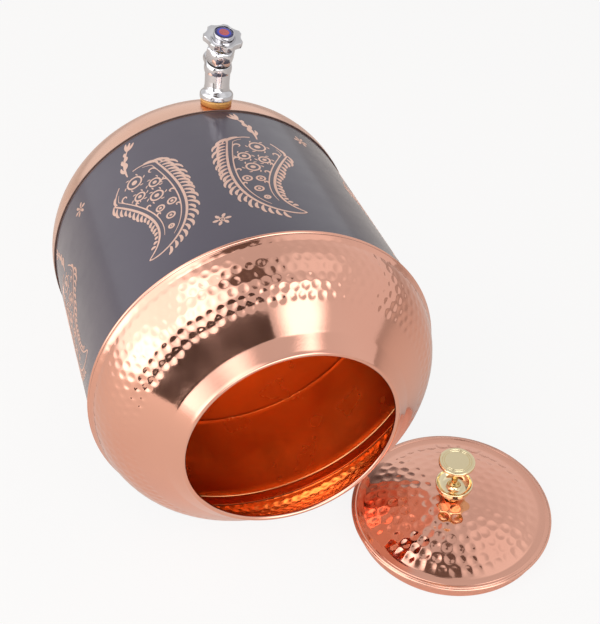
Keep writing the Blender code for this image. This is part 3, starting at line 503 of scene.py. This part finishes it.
# Shoulder, from its lip: collar, crease, smooth cone, hammered swell, groove and seam bead
def build_shoulder():
    center, swell_radius = (66.6, 184.7), 41.6
    lip = arc((65.6, 239.7), 1.6, 210.0, 28.0, 12)
    swell = arc(center, swell_radius, 48.0, 8.6, 84)
    crease, slope, lean = (74.8, 232.5), radians(42.0), 13.0
    corner = (swell[0][0] - lean * cos(slope), swell[0][1] + lean * sin(slope))
    cone = [bend(crease, corner, swell[0], i / 24) for i in range(1, 24)]
    neck = dense(rounded([lip[-1], crease, cone[1]], 1.0), 2.0)[1:] + cone[2:]
    foot = rounded([swell[-1], (109.5, 188.6), (109.8, 187.9)], 0.6, 3)[1:]
    groove = [(109.55, 187.55), (109.7, 187.3)]
    bead = arc((109.45, 186.1), 1.05, 75.0, -75.0, 8) + [(109.5, 184.7)]
    sheet = neck + swell + foot
    inner_sheet = inward([lip[-1]] + neck + swell[::2] + foot[::2], SHEET)
    outside = lip + sheet + groove + bead
    inside = [(109.0, 184.7), (109.0, 188.2)] + inner_sheet[::-1]
    profile = marked(outside, 0) + marked(inside, 1)
    # The groove's two faces take painted shade, darker as a recess
    dark = len(lip) + len(sheet) - 1
    for i in (dark, dark + 1):
        profile[i] = (*outside[i], 2)

    nearest, farthest = 39.0, 42.9
    first_dent, last_dent, neck_radius = 3.0, 43.8, 75.0

    def place_on_arc(radius, out, up, far):
        along = atan2(up, out) * swell_radius
        on_sheet = nearest < far < farthest and radius > neck_radius
        return along if on_sheet and first_dent < along < last_dent else None

    # Rows from the seam up, deeper towards the cone
    rows = [(7.3 + 5.5 * i, 96, 0.68 + 0.07 * i) for i in range(7)]
    depth_at = dents(rows, reach=2.9, depth=0.25, seed=11, drift=0.34, shape=1.45)
    press = hammered(outside + inside, center, place_on_arc, depth_at)
    shoulder = lathe(
        "shoulder_hammered", profile, 960, [COPPER, SHOULDER_INSIDE_PAINTED_LIGHT, SHADE_LINE], LYING,
        press=press, sharp=40.0,
    )
    dress(shoulder, "pot", "rose_copper", "shoulder")


# Lid
def build_lid():
    """The hammered dome, its smooth brim with a ring pressed in, and its rolled edge."""
    brim, rise, foot, hole = 11.5, 13.0, 57.6, 1.9
    sphere = (foot ** 2 + rise ** 2) / (2 * rise)
    center = (0.0, brim + rise - sphere)
    start, end = [90.0 - asin(r / sphere) * 180 / pi for r in (hole, foot)]
    dome = arc(center, sphere, start, end, 84)
    bead = arc((64.9, 10.4), 1.1, 90.0, -150.0, 12)
    brim_line = [dome[-6], (foot, brim), (60.0, brim - 0.2), bead[0]]
    brim_line = dense(rounded(brim_line, 1.2)[1:], 2.0)
    ring = [(62.2, 0.0), (62.45, -0.22), (62.7, -0.26), (62.95, -0.22), (63.2, 0.0)]
    flat = brim_line[-3][1]
    brim_line = [p for p in brim_line if p[0] < 61.9] + [(r, flat + drop) for r, drop in ring] + [bead[0]]
    outer = dome[:-6] + brim_line
    inner = inward(outer[::2] + [outer[-1]], SHEET)
    outside = outer + bead[1:]
    inside = inner[::-1]

    def place_on_arc(radius, out, up, far):
        return asin(min(1.0, radius / far)) * sphere if radius < foot - 0.5 else None

    outer_row, spacing, counts = 54.6, 7.1, (45, 39, 33, 27, 21, 15, 10)
    rows = [(outer_row - spacing * i, count, 1.0) for i, count in enumerate(counts)]
    depth_at = dents(rows, reach=3.75, depth=0.36, seed=5, drift=0.4, shape=1.4)
    press = hammered(outside + inside, center, place_on_arc, depth_at)
    profile = marked(outside, 0) + marked(inside, 1)
    lid = lathe("lid_hammered", profile, 540, [COPPER, INSIDE_PAINTED_LIGHT], LID, press=press, sharp=40.0)
    dress(lid, "lid", "rose_copper", "lid_dome")


def build_collar():
    """The ring under the brim, which drops into the mouth."""
    top, radius = 10.4, 62.6
    line = [(radius - 4.2, top), (radius, top), (radius, 1.2), (radius - 0.6, 0.0)]
    line = rounded(line, 0.8, 4)
    section = line + inward(line, SHEET)[::-1]
    collar = lathe("lid_collar_rolled", section, 256, [COPPER], LID)
    dress(collar, "lid", "rose_copper", "lid_collar")


def build_knob():
    """A disc with two ring grooves on a waisted stem, which rises from a dish."""
    foot, disc, dish_radius, bowl_radius = 24.8, 11.7, 12.1, 3.3
    top, edge, groove = foot + 32.2, 0.8, 0.2
    base = top - 2.6
    dish = foot + 11.8
    bore, bore_depth = 1.9, 9.3
    line = [(0.0, top)]
    for middle in (8.1, 9.4):
        line += [(middle - groove, top), (middle - 0.07, top - groove)]
        line += [(middle + 0.07, top - groove), (middle + groove, top)]
    line += [(disc - 0.7, top)] + arc((disc - edge, top - edge), edge, 80.0, 0.0, 5)
    line += arc((disc - edge, base + edge), edge, 0.0, -80.0, 5)
    stem = [(disc - 1.6, base), (5.6, base - 0.5), (2.9, base - 2.4), (2.1, base - 5.5), (2.1, dish + 1.2)]
    hollow = [(2.6, dish - 2.6), (5.4, dish - 4.3), (8.6, dish - 3.4), (10.6, dish - 1.4)]
    line += rounded(stem + hollow + [(dish_radius - 0.9, dish)], 1.6, 5)
    line += arc((dish_radius - 0.55, dish - 0.55), 0.55, 95.0, -20.0, 6)
    bowl = dish - 0.9 - (foot + 1.8)
    line += quarter(bowl_radius, dish - 0.9, dish_radius - bowl_radius, bowl, 16, 2)
    line += [(3.6, foot + 1.5), (4.2, foot + 1.0), (4.2, foot + 0.2), (4.0, foot)]
    line += [(bore, foot), (bore, foot + bore_depth), (0.0, foot + bore_depth)]
    knob = lathe("lid_knob_turned", line, 128, [BRASS], LID, sharp=38.0)
    dress(knob, "lid", "polished_brass", "lid_knob")


# Tap
def build_tap():
    """The casting as solids that overlap, made one by voxels, then drilled."""
    barrel, flange, shank, shank_end = 8.5, 11.1, 6.0, -16.5
    flare_top, flare_drop = 10.4, 3.8
    line = [(0.0, HEAD_REACH), (barrel, HEAD_REACH), (8.35, 20.0), (8.2, 16.0), (8.25, 12.5)]
    line.append((barrel, flare_top))
    for i in range(1, 9):
        share = i / 9
        flare = (flange - barrel) * (1 - cos(share * pi)) / 2
        line.append((barrel + flare, flare_top - share * flare_drop))
    line += [(flange, 6.6), (flange, 4.2), (flange - 0.3, 3.8), (shank, 3.8)]
    line += [(shank, shank_end), (0.0, shank_end)]
    body = lathe("tap_casting", line, 96, [CHROME], INLET)
    ball = 9.2
    bulb = [(0.0, 4.5), (7.8, 4.5), (8.3, 4.1), (8.3, 3.4), (7.8, 3.0), (7.9, 2.6)]
    bulb += arc((0.0, 0.0), ball, 24.0, -90.0, 24)[:-1] + [(0.0, -ball)]
    spout = [(0.0, 15.2), (5.9, 15.2), (6.3, 15.0), (6.5, 14.5), (6.5, 0.0), (0.0, 0.0)]
    merge(body, lathe("bulb", bulb, 96, [CHROME], HEAD), lathe("spout", spout, 96, [CHROME], SPOUT))
    cast = body.modifiers.new("Cast", "REMESH")
    cast.mode = "VOXEL"
    cast.voxel_size = 0.26 * MM
    cast.use_smooth_shade = True
    polish = body.modifiers.new("Polish", "SMOOTH")
    polish.factor = 0.5
    polish.iterations = 4
    settle(body)
    boolean(body, rod("chamber", 6.6, 7.0, -3.0, 64, HEAD))
    boolean(body, rod("inlet", 3.6, 23.1, -19.0, 48, INLET))
    boolean(body, rod("bore", 4.6, 18.0, 4.6, 48, SPOUT))
    dress(body, "pot", "chrome", "tap_body")


def build_washer():
    """The amber washer, its lip lighter as a painted highlight, cut to the pan's curve with a clearance."""
    bore, below = 6.4, -8.0
    lip = [(bore, 3.5), (10.2, 3.5), (10.5, 3.2), (10.5, 2.4)]
    waist = [(10.2, 2.1), (10.2, 1.8), (10.35, 1.6), (10.35, below), (bore, below)]
    section = marked(lip, 1) + marked(waist, 0)
    washer = lathe("washer_cut", section, 96, [AMBER, AMBER_PAINTED_HIGHLIGHT], INLET)
    gap, side, top = 0.3, 108.5, 60.0
    core = [(0.0, top), (side, top), (side, PAN_EDGE)]
    core += quarter(PAN_FLAT + 0.1, PAN_CURVE, side - 0.1 - PAN_FLAT, PAN_CURVE + gap, 40)
    core.append((0.0, -gap))
    boolean(washer, lathe("core", core, 256, [AMBER], LYING))
    washer.name = "amber_washer"
    dress(washer, "pot", "amber_rubber", "outer_washer")


def hexagon(name, corner, high, low, material, place):
    """A hexagonal prism, its corners that far from the axis."""
    verts = []
    for height in (high, low):
        for k in range(6):
            a = pi / 6 + pi / 3 * k
            verts.append((corner * MM * cos(a), corner * MM * sin(a), height * MM))
    faces = [list(range(6)), list(range(11, 5, -1))]
    faces += [[k, k + 6, (k + 1) % 6 + 6, (k + 1) % 6] for k in range(6)]
    return finished(name, verts, faces, None, [material], place)


def build_bonnet():
    """The hexagon with its chamfered corners and its tail, bored for the spindle."""
    base, top, half, chamfer = 6.0, 16.0, 8.2, 1.1
    corner = half / cos(pi / 6)
    side, out = half - 0.3, corner + 0.1
    bonnet = hexagon("bonnet_hexagon", corner, top, base, CHROME, HEAD)
    section = [(0.0, top + 1), (side, top + 1), (side, top), (out, top - chamfer)]
    section += [(out, base + chamfer), (side, base), (side, base - 1), (0.0, base - 1)]
    boolean(bonnet, lathe("chamfer", section, 96, [CHROME], HEAD), "INTERSECT")
    boolean(bonnet, rod("tail", 6.3, base + 2, base - 4.9, 96, HEAD), "UNION")
    boolean(bonnet, rod("cavity", 5.6, 8.2, 0.0, 64, HEAD))
    boolean(bonnet, rod("bore", 4.0, top + 2, base, 64, HEAD))
    dress(bonnet, "pot", "chrome", "bonnet")


def build_wheel():
    """The star wheel with seven lobes, its hub, its square hole and its seat for the button."""
    base, top, reach = 20.4, 24.9, 12.9
    lobes, first_lobe, scallop = 7, radians(-20.0), 1.45
    steps = 280
    # Each level: height, size against the full reach, depth of the scallops against the full one
    levels = [
        (base - 0.2, 0.80, 0.7), (base, 0.90, 0.9), (base + 0.4, 0.965, 1.0), (base + 0.9, 1.0, 1.0),
        (top - 0.7, 1.0, 1.0), (top - 0.25, 0.985, 1.0), (top, 0.95, 1.0),
    ]
    verts = []
    for height, size, share in levels:
        for j in range(steps):
            a = 2 * pi * j / steps
            lobe = ((a - first_lobe) * lobes / (2 * pi)) % 1.0
            gap = abs(lobe - 0.5) * 2
            hollow = scallop * share * max(0.0, 1 - (gap / 0.72) ** 2) ** 0.8
            r = (reach - hollow) * size
            verts.append((r * cos(a) * MM, r * sin(a) * MM, height * MM))
    faces = []
    for i in range(len(levels) - 1):
        here, there = i * steps, (i + 1) * steps
        for j in range(steps):
            n = (j + 1) % steps
            faces.append([here + j, here + n, there + n, there + j])
    faces.append([len(verts) - steps + j for j in range(steps)])
    faces.append(list(range(steps - 1, -1, -1)))
    wheel = finished("handwheel_star", verts, faces, None, [CHROME], HEAD, sharp=28.0)
    hub = [(0.0, base + 1), (7.4, base + 1), (7.4, base - 0.2), (6.3, base - 2.2), (6.2, 16.3), (0.0, 16.3)]
    boolean(wheel, lathe("hub", rounded(hub, 0.5, 3), 96, [CHROME], HEAD), "UNION")
    square = (4.6 + 0.6) / sqrt(2)  # corner of the spindle's square with its clearance
    boolean(wheel, rod("square", square, 21.8, 16.5, 4, HEAD @ Matrix.Rotation(pi / 4, 4, "Z")))
    boolean(wheel, rod("sleeve", 4.0, 16.8, 14.0, 64, HEAD))
    boolean(wheel, rod("hole", 1.6, 24.0, 16.6, 32, HEAD))
    boolean(wheel, rod("cap", 5.3, 27.0, 22.9, 64, HEAD))
    dress(wheel, "handwheel_set", "chrome", "handwheel")


def build_button():
    """The bezel in the wheel, and in it the domed disc: red, a blue ring, a navy rim."""
    low, high, radius, edge = 25.2, 27.8, 6.9, 0.35
    bezel = arc((radius - edge, high - edge), edge, 90.0, 0.0, 4)
    bezel += [(radius, low + 0.15), (radius - 0.15, low), (5.0, low), (5.0, 23.2), (4.3, 23.2)]
    bezel += [(4.3, low + 0.2), (6.2, low + 0.2), (6.2, high - 0.1), (6.35, high)]
    ring = lathe("button_ring", bezel, 96, [CHROME], HEAD)
    dress(ring, "handwheel_set", "chrome", "button_bezel")

    face = low + 0.5
    blue, red, navy = 0, 1, 2
    section = [(0.0, face + 2.1, red), (2.0, face + 2.07, red), (3.3, face + 2.0, blue)]
    section += [(4.5, face + 1.92, navy), (5.3, face + 1.82, navy), (5.75, face + 1.7, navy)]
    section += [(5.9, face + 1.4, navy), (5.9, face, navy), (0.0, face, navy)]
    disc = lathe("index_disc", section, 96, [BLUE, RED, NAVY], HEAD)
    dress(disc, "handwheel_set", "blue_plastic", "index_button")


# Figures on the band: paisley plumes and sprigs of copper line work
FIGURE_RADIUS, RELIEF, FIGURES = 108.0, 0.1, 8
SPACING = 2 * pi * FIGURE_RADIUS / FIGURES


def band_point(across, height, lift):
    radius = band_radius(height) + lift
    angle = across / FIGURE_RADIUS
    return (radius * cos(angle) * MM, radius * sin(angle) * MM, height * MM)


def taper(count, thick, thin=0.12):
    """Widths that swell from thin to thick and back."""
    return [thin + (thick - thin) * sin(pi * (0.08 + 0.84 * i / (count - 1))) for i in range(count)]


class Drawing:
    """Closed strokes on the band that stand proud of it by the relief, places in millimetres."""

    def __init__(self):
        self.verts = []
        self.faces = []

    def stroke(self, line, thick, thin=0.12):
        """A ribbon along the line that tapers to both ends."""
        first = len(self.verts)
        count = len(line)
        widths = taper(count, thick, thin)
        for i, (x, y) in enumerate(line):
            a, b = line[max(0, i - 1)], line[min(count - 1, i + 1)]
            far = hypot(b[0] - a[0], b[1] - a[1]) or 1.0
            nx, ny = -(b[1] - a[1]) / far, (b[0] - a[0]) / far
            half = widths[i] / 2
            for side, lift in ((1, -RELIEF), (1, RELIEF), (-1, RELIEF), (-1, -RELIEF)):
                self.verts.append(band_point(x + nx * half * side, y + ny * half * side, lift))
        for i in range(count - 1):
            self.sleeve(first + 4 * i, first + 4 * i + 4)
        self.faces.append([first + k for k in range(3, -1, -1)])
        self.faces.append([first + 4 * (count - 1) + k for k in range(4)])

    def sleeve(self, here, there):
        """Four faces from the ribbon's section at one place to the next."""
        for k in range(4):
            n = (k + 1) % 4
            self.faces.append([here + k, here + n, there + n, there + k])

    def ring(self, x, y, radius, width, steps=22):
        first = len(self.verts)
        outer, inner = radius + width / 2, radius - width / 2
        for i in range(steps):
            a = 2 * pi * i / steps
            for r, lift in ((outer, -RELIEF), (outer, RELIEF), (inner, RELIEF), (inner, -RELIEF)):
                self.verts.append(band_point(x + r * cos(a), y + r * sin(a), lift))
        for i in range(steps):
            self.sleeve(first + 4 * i, first + 4 * ((i + 1) % steps))

    def dot(self, x, y, radius, steps=14):
        first = len(self.verts)
        for lift in (-RELIEF, RELIEF):
            for i in range(steps):
                a = 2 * pi * i / steps
                self.verts.append(band_point(x + radius * cos(a), y + radius * sin(a), lift))
        self.faces.append([first + i for i in range(steps - 1, -1, -1)])
        self.faces.append([first + steps + i for i in range(steps)])
        for i in range(steps):
            n = (i + 1) % steps
            self.faces.append([first + i, first + n, first + steps + n, first + steps + i])


def curl(start, heading, length, turn_by, pieces=12, tighten=0.0):
    """A line that turns as it goes, by turn_by over its whole length."""
    x, y = start
    line = [(x, y)]
    turn = radians(heading)
    for i in range(pieces):
        share = (i + 0.5) / pieces
        turn += radians(turn_by) / pieces * (1 + tighten * (share - 0.5) * 2)
        x += cos(turn) * length / pieces
        y += sin(turn) * length / pieces
        line.append((x, y))
    return line


class Plume:
    """One paisley drop with its tip curled over, drawn along a spine from its foot up."""

    SIZE = 1.17
    POINTS = 60
    FOOT = (3.0, 30.0)
    FOOT_HEADING = 118.0
    STEP = 1.45
    WIDEST = 18.0
    # Places on the spine, with the distance across it and the size
    EYES = (
        (6, 0.0, 4.4), (15, -5.6, 3.0), (15, 5.4, 3.2), (22, 0.0, 3.6),
        (30, -3.4, 2.2), (30, 3.6, 2.3), (37, 0.0, 2.2), (43, 0.0, 1.4),
    )
    # Places on the spine, with the length
    HOOKS = ((10, 9.0), (19, 8.0), (26, 6.5), (34, 5.0))
    # Places on the stem, with the side
    LEAVES = ((3, 1), (5, -1), (8, 1), (10, -1), (13, 1))

    def __init__(self, art, place, flip, base):
        self.art = art
        self.place = place
        self.flip = flip
        self.base = base
        self.spine = []
        (x, y), turn = self.FOOT, self.FOOT_HEADING
        for i in range(self.POINTS):
            share = i / (self.POINTS - 1)
            self.spine.append((x, y, turn, share))
            turn -= 0.3 + 5.2 * share ** 2.2
            x += cos(radians(turn)) * self.STEP
            y += sin(radians(turn)) * self.STEP

    def on_band(self, x, y):
        return self.place + self.flip * x * self.SIZE, self.base + y * self.SIZE

    def stroke(self, line, thick, thin=0.12):
        self.art.stroke([self.on_band(x, y) for x, y in line], thick, thin)

    def half(self, k):
        """Half of the drop's width at the spine's point k."""
        share = self.spine[k][3]
        return self.WIDEST * (1 - share) ** 0.72 * min(1.0, (share + 0.012) * 9) ** 0.5

    def beside(self, k, side, distance):
        """The point that far from the spine's point k, to its left (1) or right (-1)."""
        x, y, turn, _ = self.spine[k]
        out = radians(turn + 90 * side)
        return x + cos(out) * distance, y + sin(out) * distance

    def draw(self):
        for side in (-1, 1):
            self.stroke([self.beside(k, side, self.half(k)) for k in range(self.POINTS)], 1.7, 0.5)
            self.stroke([self.beside(k, side, self.half(k) - 3.0) for k in range(3, 48)], 0.9)
            self.draw_feathers(side)
        self.draw_eyes()
        for side in (-1, 1):
            for k, length in self.HOOKS:
                start = self.beside(k, side, self.half(k) - 3.2)
                heading = self.spine[k][2] + 180 - 20 * side
                self.stroke(curl(start, heading, length, 250 * side, 14, 0.8), 1.3)
        self.draw_stem()

    def draw_feathers(self, side):
        """A fringe outside the drop, on its left longer and with finer feathers between."""
        left = side == 1
        for k in range(2, 54, 2 if left else 3):
            _, _, turn, share = self.spine[k]
            out = radians(turn + 90 * side)
            start = self.beside(k, side, self.half(k) + 0.9)
            length = (11.0 - 6.0 * share) * (1.0 + 0.22 * sin(k * 1.7))
            if not left:
                length *= 0.72 - 0.3 * share
            self.stroke(curl(start, turn + 62 * side, length, -74 * side, 9, 0.6), 2.0, 0.25)
            if left and k % 4 == 0 and length > 4:
                start = (start[0] + cos(out) * 1.2, start[1] + sin(out) * 1.2)
                self.stroke(curl(start, turn + 40 * side, length * 0.72, -46 * side, 8), 1.0)

    def draw_eyes(self):
        """Rings with a dot, the larger ones with short rays."""
        for k, across, radius in self.EYES:
            turn = self.spine[k][2]
            x, y = self.beside(k, 1, across)
            self.art.ring(*self.on_band(x, y), radius * self.SIZE, 1.2)
            self.art.dot(*self.on_band(x, y), radius * 0.46)
            if radius <= 2.5:
                continue
            for way in range(0, 360, 60):
                a = radians(way + turn)
                tip = (x + cos(a) * (radius + 0.9), y + sin(a) * (radius + 0.9))
                self.stroke(curl(tip, way + turn + 20, 2.2, 60, 4), 0.95)

    def draw_stem(self):
        """A stem down from the foot, with leaves on both sides and three at its end."""
        heading, turn_by, pieces = -82.0, -38.0, 16
        stem = curl((1.5, 29.0), heading, 23.0, turn_by, pieces)
        self.stroke(stem, 1.9, 0.5)
        for k, side in self.LEAVES:
            way = heading + turn_by * k / pieces + 48 * side
            self.stroke(curl(stem[k], way, 7.5 - 0.3 * k, -60 * side, 9), 2.2, 0.25)
        for way in (-40, 0, 40):
            self.stroke(curl(stem[-1], -118 + way, 7.0, -way * 0.8, 7), 2.2, 0.3)


def draw_sprig(art, x, y):
    """A ringed dot with six petals."""
    art.ring(x, y, 1.5, 0.7)
    art.dot(x, y, 0.6)
    for k in range(6):
        way = 60.0 * k
        start = (x + cos(radians(way)) * 2.0, y + sin(radians(way)) * 2.0)
        art.stroke(curl(start, way + 14, 3.6, -28, 6), 2.1, 0.4)


def build_figures():
    art = Drawing()
    for i in range(FIGURES):
        Plume(art, (i + 0.85) * SPACING, 1 if i % 2 == 0 else -1, 42.0).draw()
    for i in range(FIGURES):
        draw_sprig(art, (i + 0.37) * SPACING, 60.0 if i % 2 else 160.0)
    figures = finished("band_figures", art.verts, art.faces, None, [FIGURE], LYING, sharp=30.0)
    dress(figures, "pot", "rose_copper")


build_pan()
build_band()
build_shoulder()
build_lid()
build_collar()
build_knob()
build_tap()
build_washer()
build_bonnet()
build_wheel()
build_button()
build_figures()

# Hidden pieces show the CAD's own meshes
KEPT = {
    "inner_washer": AMBER, "nut_plate": STEEL, "back_nut": TURNED, "bonnet_gasket": BLACK,
    "valve_washer": BLACK, "washer_nut": TURNED, "jumper": TURNED, "spindle": TURNED,
    "spindle_seal": BLACK, "handle_screw": STEEL, "knob_washer": STEEL, "knob_screw": STEEL,
}
for name, material in KEPT.items():
    node = frame["nodes"][name]
    node.data.materials.clear()
    node.data.materials.append(material)


# Studio: pale floor, soft lamps, pale surroundings and dark cards
def seen_directly(tree):
    """1 for camera, mirror and glass rays, 0 for the light that falls on things."""
    path = add_node(tree, "LightPath").outputs
    seen = combined(tree, "MAXIMUM", path["Is Camera Ray"], path["Is Glossy Ray"])
    return combined(tree, "MAXIMUM", seen, path["Is Transmission Ray"])


def mixed(tree, factor, first, second):
    return add_node(tree, "MixShader", {0: factor, 1: first, 2: second}).outputs[0]


def stage_piece(name, verts, faces, material):
    """A mesh that belongs to the studio."""
    mesh = bpy.data.meshes.new(name)
    mesh.from_pydata(verts, [], faces)
    mesh.materials.append(material)
    thing = bpy.data.objects.new(name, mesh)
    bpy.context.scene.collection.objects.link(thing)
    return thing


def floor():
    """A pale floor that takes shadows, near white to the camera and partly white in mirrors."""
    level, reach = -0.1107, 30
    near, far, near_white, mirrored = 0.8, 2.5, 0.88, 0.2
    color, first, second = (0.72, 0.64, 0.58), (0.73, 0.65, 0.59), (0.71, 0.63, 0.57)
    made = Shader("studio_floor", color, metallic=0.0, roughness=0.9, Specular_IOR_Level=0.0)
    made.use("Base Color", made.blend(made.noise(scale=2.0), first, second))
    glow = made.node("Emission", {"Color": (1.0, 1.0, 1.0, 1.0), "Strength": 1.0})
    camera_ray = made.node("LightPath").outputs["Is Camera Ray"]
    away = made.node("VectorMath", {0: made.where}, operation="LENGTH").outputs["Value"]
    white = made.remap(away, (near, far), (near_white, 1.0))
    share = made.remap(camera_ray, (0.0, 1.0), (mirrored, white))
    part = combined(made.tree, "MULTIPLY", seen_directly(made.tree), share)
    surface = mixed(made.tree, part, made.base.outputs[0], glow.outputs[0])
    made.tree.links.new(surface, made.tree.nodes["Material Output"].inputs["Surface"])
    corners = [(-reach, -reach, level), (reach, -reach, level), (reach, reach, level), (-reach, reach, level)]
    stage_piece("studio_floor", corners, [[0, 1, 2, 3]], made.material)


def world():
    """Even light on things; mirrors see it pale at the horizon, dim overhead, the camera white."""
    light_on_things, low, high, pale, dim = 0.46, 0.2, 1.0, 0.82, 0.66
    made = bpy.data.worlds.new("studio")
    made.use_nodes = True
    tree = made.node_tree
    tree.nodes.clear()
    white = (1.0, 1.0, 1.0, 1.0)
    where = add_node(tree, "TexCoord").outputs["Generated"]
    height = add_node(tree, "SeparateXYZ", {0: where}).outputs["Z"]
    values = {"Value": height, "From Min": low, "From Max": high, "To Min": pale, "To Max": dim}
    fade = add_node(tree, "MapRange", values, interpolation_type="SMOOTHSTEP").outputs["Result"]
    camera_ray = add_node(tree, "LightPath").outputs["Is Camera Ray"]
    strength = combined(tree, "MAXIMUM", fade, camera_ray)
    soft = add_node(tree, "Background", {"Color": white, "Strength": light_on_things})
    seen = add_node(tree, "Background", {"Color": white, "Strength": strength})
    surface = mixed(tree, seen_directly(tree), soft.outputs[0], seen.outputs[0])
    add_node(tree, "OutputWorld", {0: surface})
    bpy.context.scene.world = made


def toward(azimuth, elevation):
    """A direction: azimuth from +Y towards +X, elevation above the floor."""
    turn, rise = radians(azimuth), radians(elevation)
    return Vector((sin(turn) * cos(rise), cos(turn) * cos(rise), sin(rise)))


SOFT_EDGE = 0.34


def lamp(name, aim, azimuth, elevation, distance, size, power):
    """An area lamp that fades towards its edges, so that mirrors show it without a hard border.

    It fades to nothing over SOFT_EDGE of its width at each side. It is larger and stronger by as
    much as that takes away.
    """
    light = bpy.data.lights.new(name, "AREA")
    light.shape = "RECTANGLE"
    light.size, light.size_y = [side / (1 - SOFT_EDGE) for side in size]
    light.energy = power / (1 - SOFT_EDGE) ** 2
    light.use_nodes = True
    tree = light.node_tree
    place = add_node(tree, "NewGeometry").outputs["Parametric"]
    across = add_node(tree, "SeparateXYZ", {0: place}).outputs
    fades = []
    for axis in "XY":
        inside = combined(tree, "PINGPONG", across[axis], 0.5)
        values = {"Value": inside, "From Max": SOFT_EDGE}
        fade = add_node(tree, "MapRange", values, interpolation_type="SMOOTHSTEP")
        fades.append(fade.outputs["Result"])
    tree.links.new(combined(tree, "MULTIPLY", *fades), tree.nodes["Emission"].inputs["Strength"])
    thing = bpy.data.objects.new(name, light)
    thing.location = aim + toward(azimuth, elevation) * distance
    way = aim - thing.location
    thing.rotation_mode = "QUATERNION"
    thing.rotation_quaternion = way.to_track_quat("-Z", "Y")
    bpy.context.scene.collection.objects.link(thing)


def flag(name, center, distance, rim, depth, gray):
    """A curved dark card that only mirrors see: rim is its upper edge, as azimuth and elevation."""
    rows = 6
    verts = []
    faces = []
    for i, (azimuth, elevation) in enumerate(rim):
        for k in range(rows + 1):
            verts.append(center + toward(azimuth, elevation - depth * k / rows) * distance)
        if i:
            here = (rows + 1) * i
            back = here - rows - 1
            faces += [[back + k, back + k + 1, here + k + 1, here + k] for k in range(rows)]
    color = (gray, gray * 0.85, gray * 0.8)
    made = Shader(name, color, metallic=0.0, roughness=1.0, Specular_IOR_Level=0.0)
    card = stage_piece(name, verts, faces, made.material)
    card.visible_camera = False
    card.visible_diffuse = False
    card.visible_shadow = False


NECK = Vector((-0.03, -0.225, 0.04))
LID_TOP = Vector((0.1094, -0.2411, -0.09))

floor()
world()

# Each lamp: name, aim, azimuth, elevation, distance, width and height, power in watts
LAMPS = (
    ("window", NECK, -88, 29, 1.6, (2.45, 2.0), 16.3),
    ("window_core", NECK, -106, 10, 1.55, (1.1, 0.8), 2.9),
    ("front_left", NECK, -138, 48, 1.5, (0.75, 0.9), 2.9),
    ("front_right", NECK, 150, 36, 1.5, (0.6, 0.4), 1.4),
    ("front_low", NECK, 180, 17, 1.5, (1.6, 0.65), 10.6),
    ("lid_right", LID_TOP, 101, 60, 1.5, (0.8, 0.8), 0.6),
    ("lid_left", LID_TOP, -80, 63, 1.4, (0.5, 0.6), 1.35),
)
for row in LAMPS:
    lamp(*row)

VIEWER_RIM = [
    (-119, -9), (-122, -3), (-127, 8), (-132, 17), (-139, 25),
    (-146, 31), (-155, 37), (-165, 41), (-178, 43), (-188, 42),
]
OVERHEAD_RIM = [(-80, 91), (-110, 97), (-140, 99), (-170, 98), (-200, 93)]
flag("viewer", NECK, 1.15, VIEWER_RIM, depth=13.0, gray=0.10)
flag("overhead", LID_TOP, 1.5, OVERHEAD_RIM, depth=30.0, gray=0.2)

# Camera, fitted to the photograph
FOCAL_PIXELS, LONG_SIDE, SENSOR = 1094.74, 624, 36.0
RIGHT = Vector((0.95033, -0.31124, 0.0))
DOWN = Vector((-0.19910, -0.60793, -0.76862))
AHEAD = Vector((0.23922, 0.73044, -0.63971))
EYE = Vector((-0.1340, -0.6623, 0.4661))

camera = bpy.data.objects.new("camera", bpy.data.cameras.new("camera"))
camera.data.sensor_fit = "AUTO"
camera.data.sensor_width = SENSOR
camera.data.lens = FOCAL_PIXELS * SENSOR / LONG_SIDE
camera.data.clip_start = 0.01
camera.matrix_world = Matrix((*zip(RIGHT, -DOWN, -AHEAD, EYE), (0.0, 0.0, 0.0, 1.0)))
bpy.context.scene.collection.objects.link(camera)
bpy.context.scene.camera = camera
bpy.context.scene.view_settings.view_transform = "Standard"
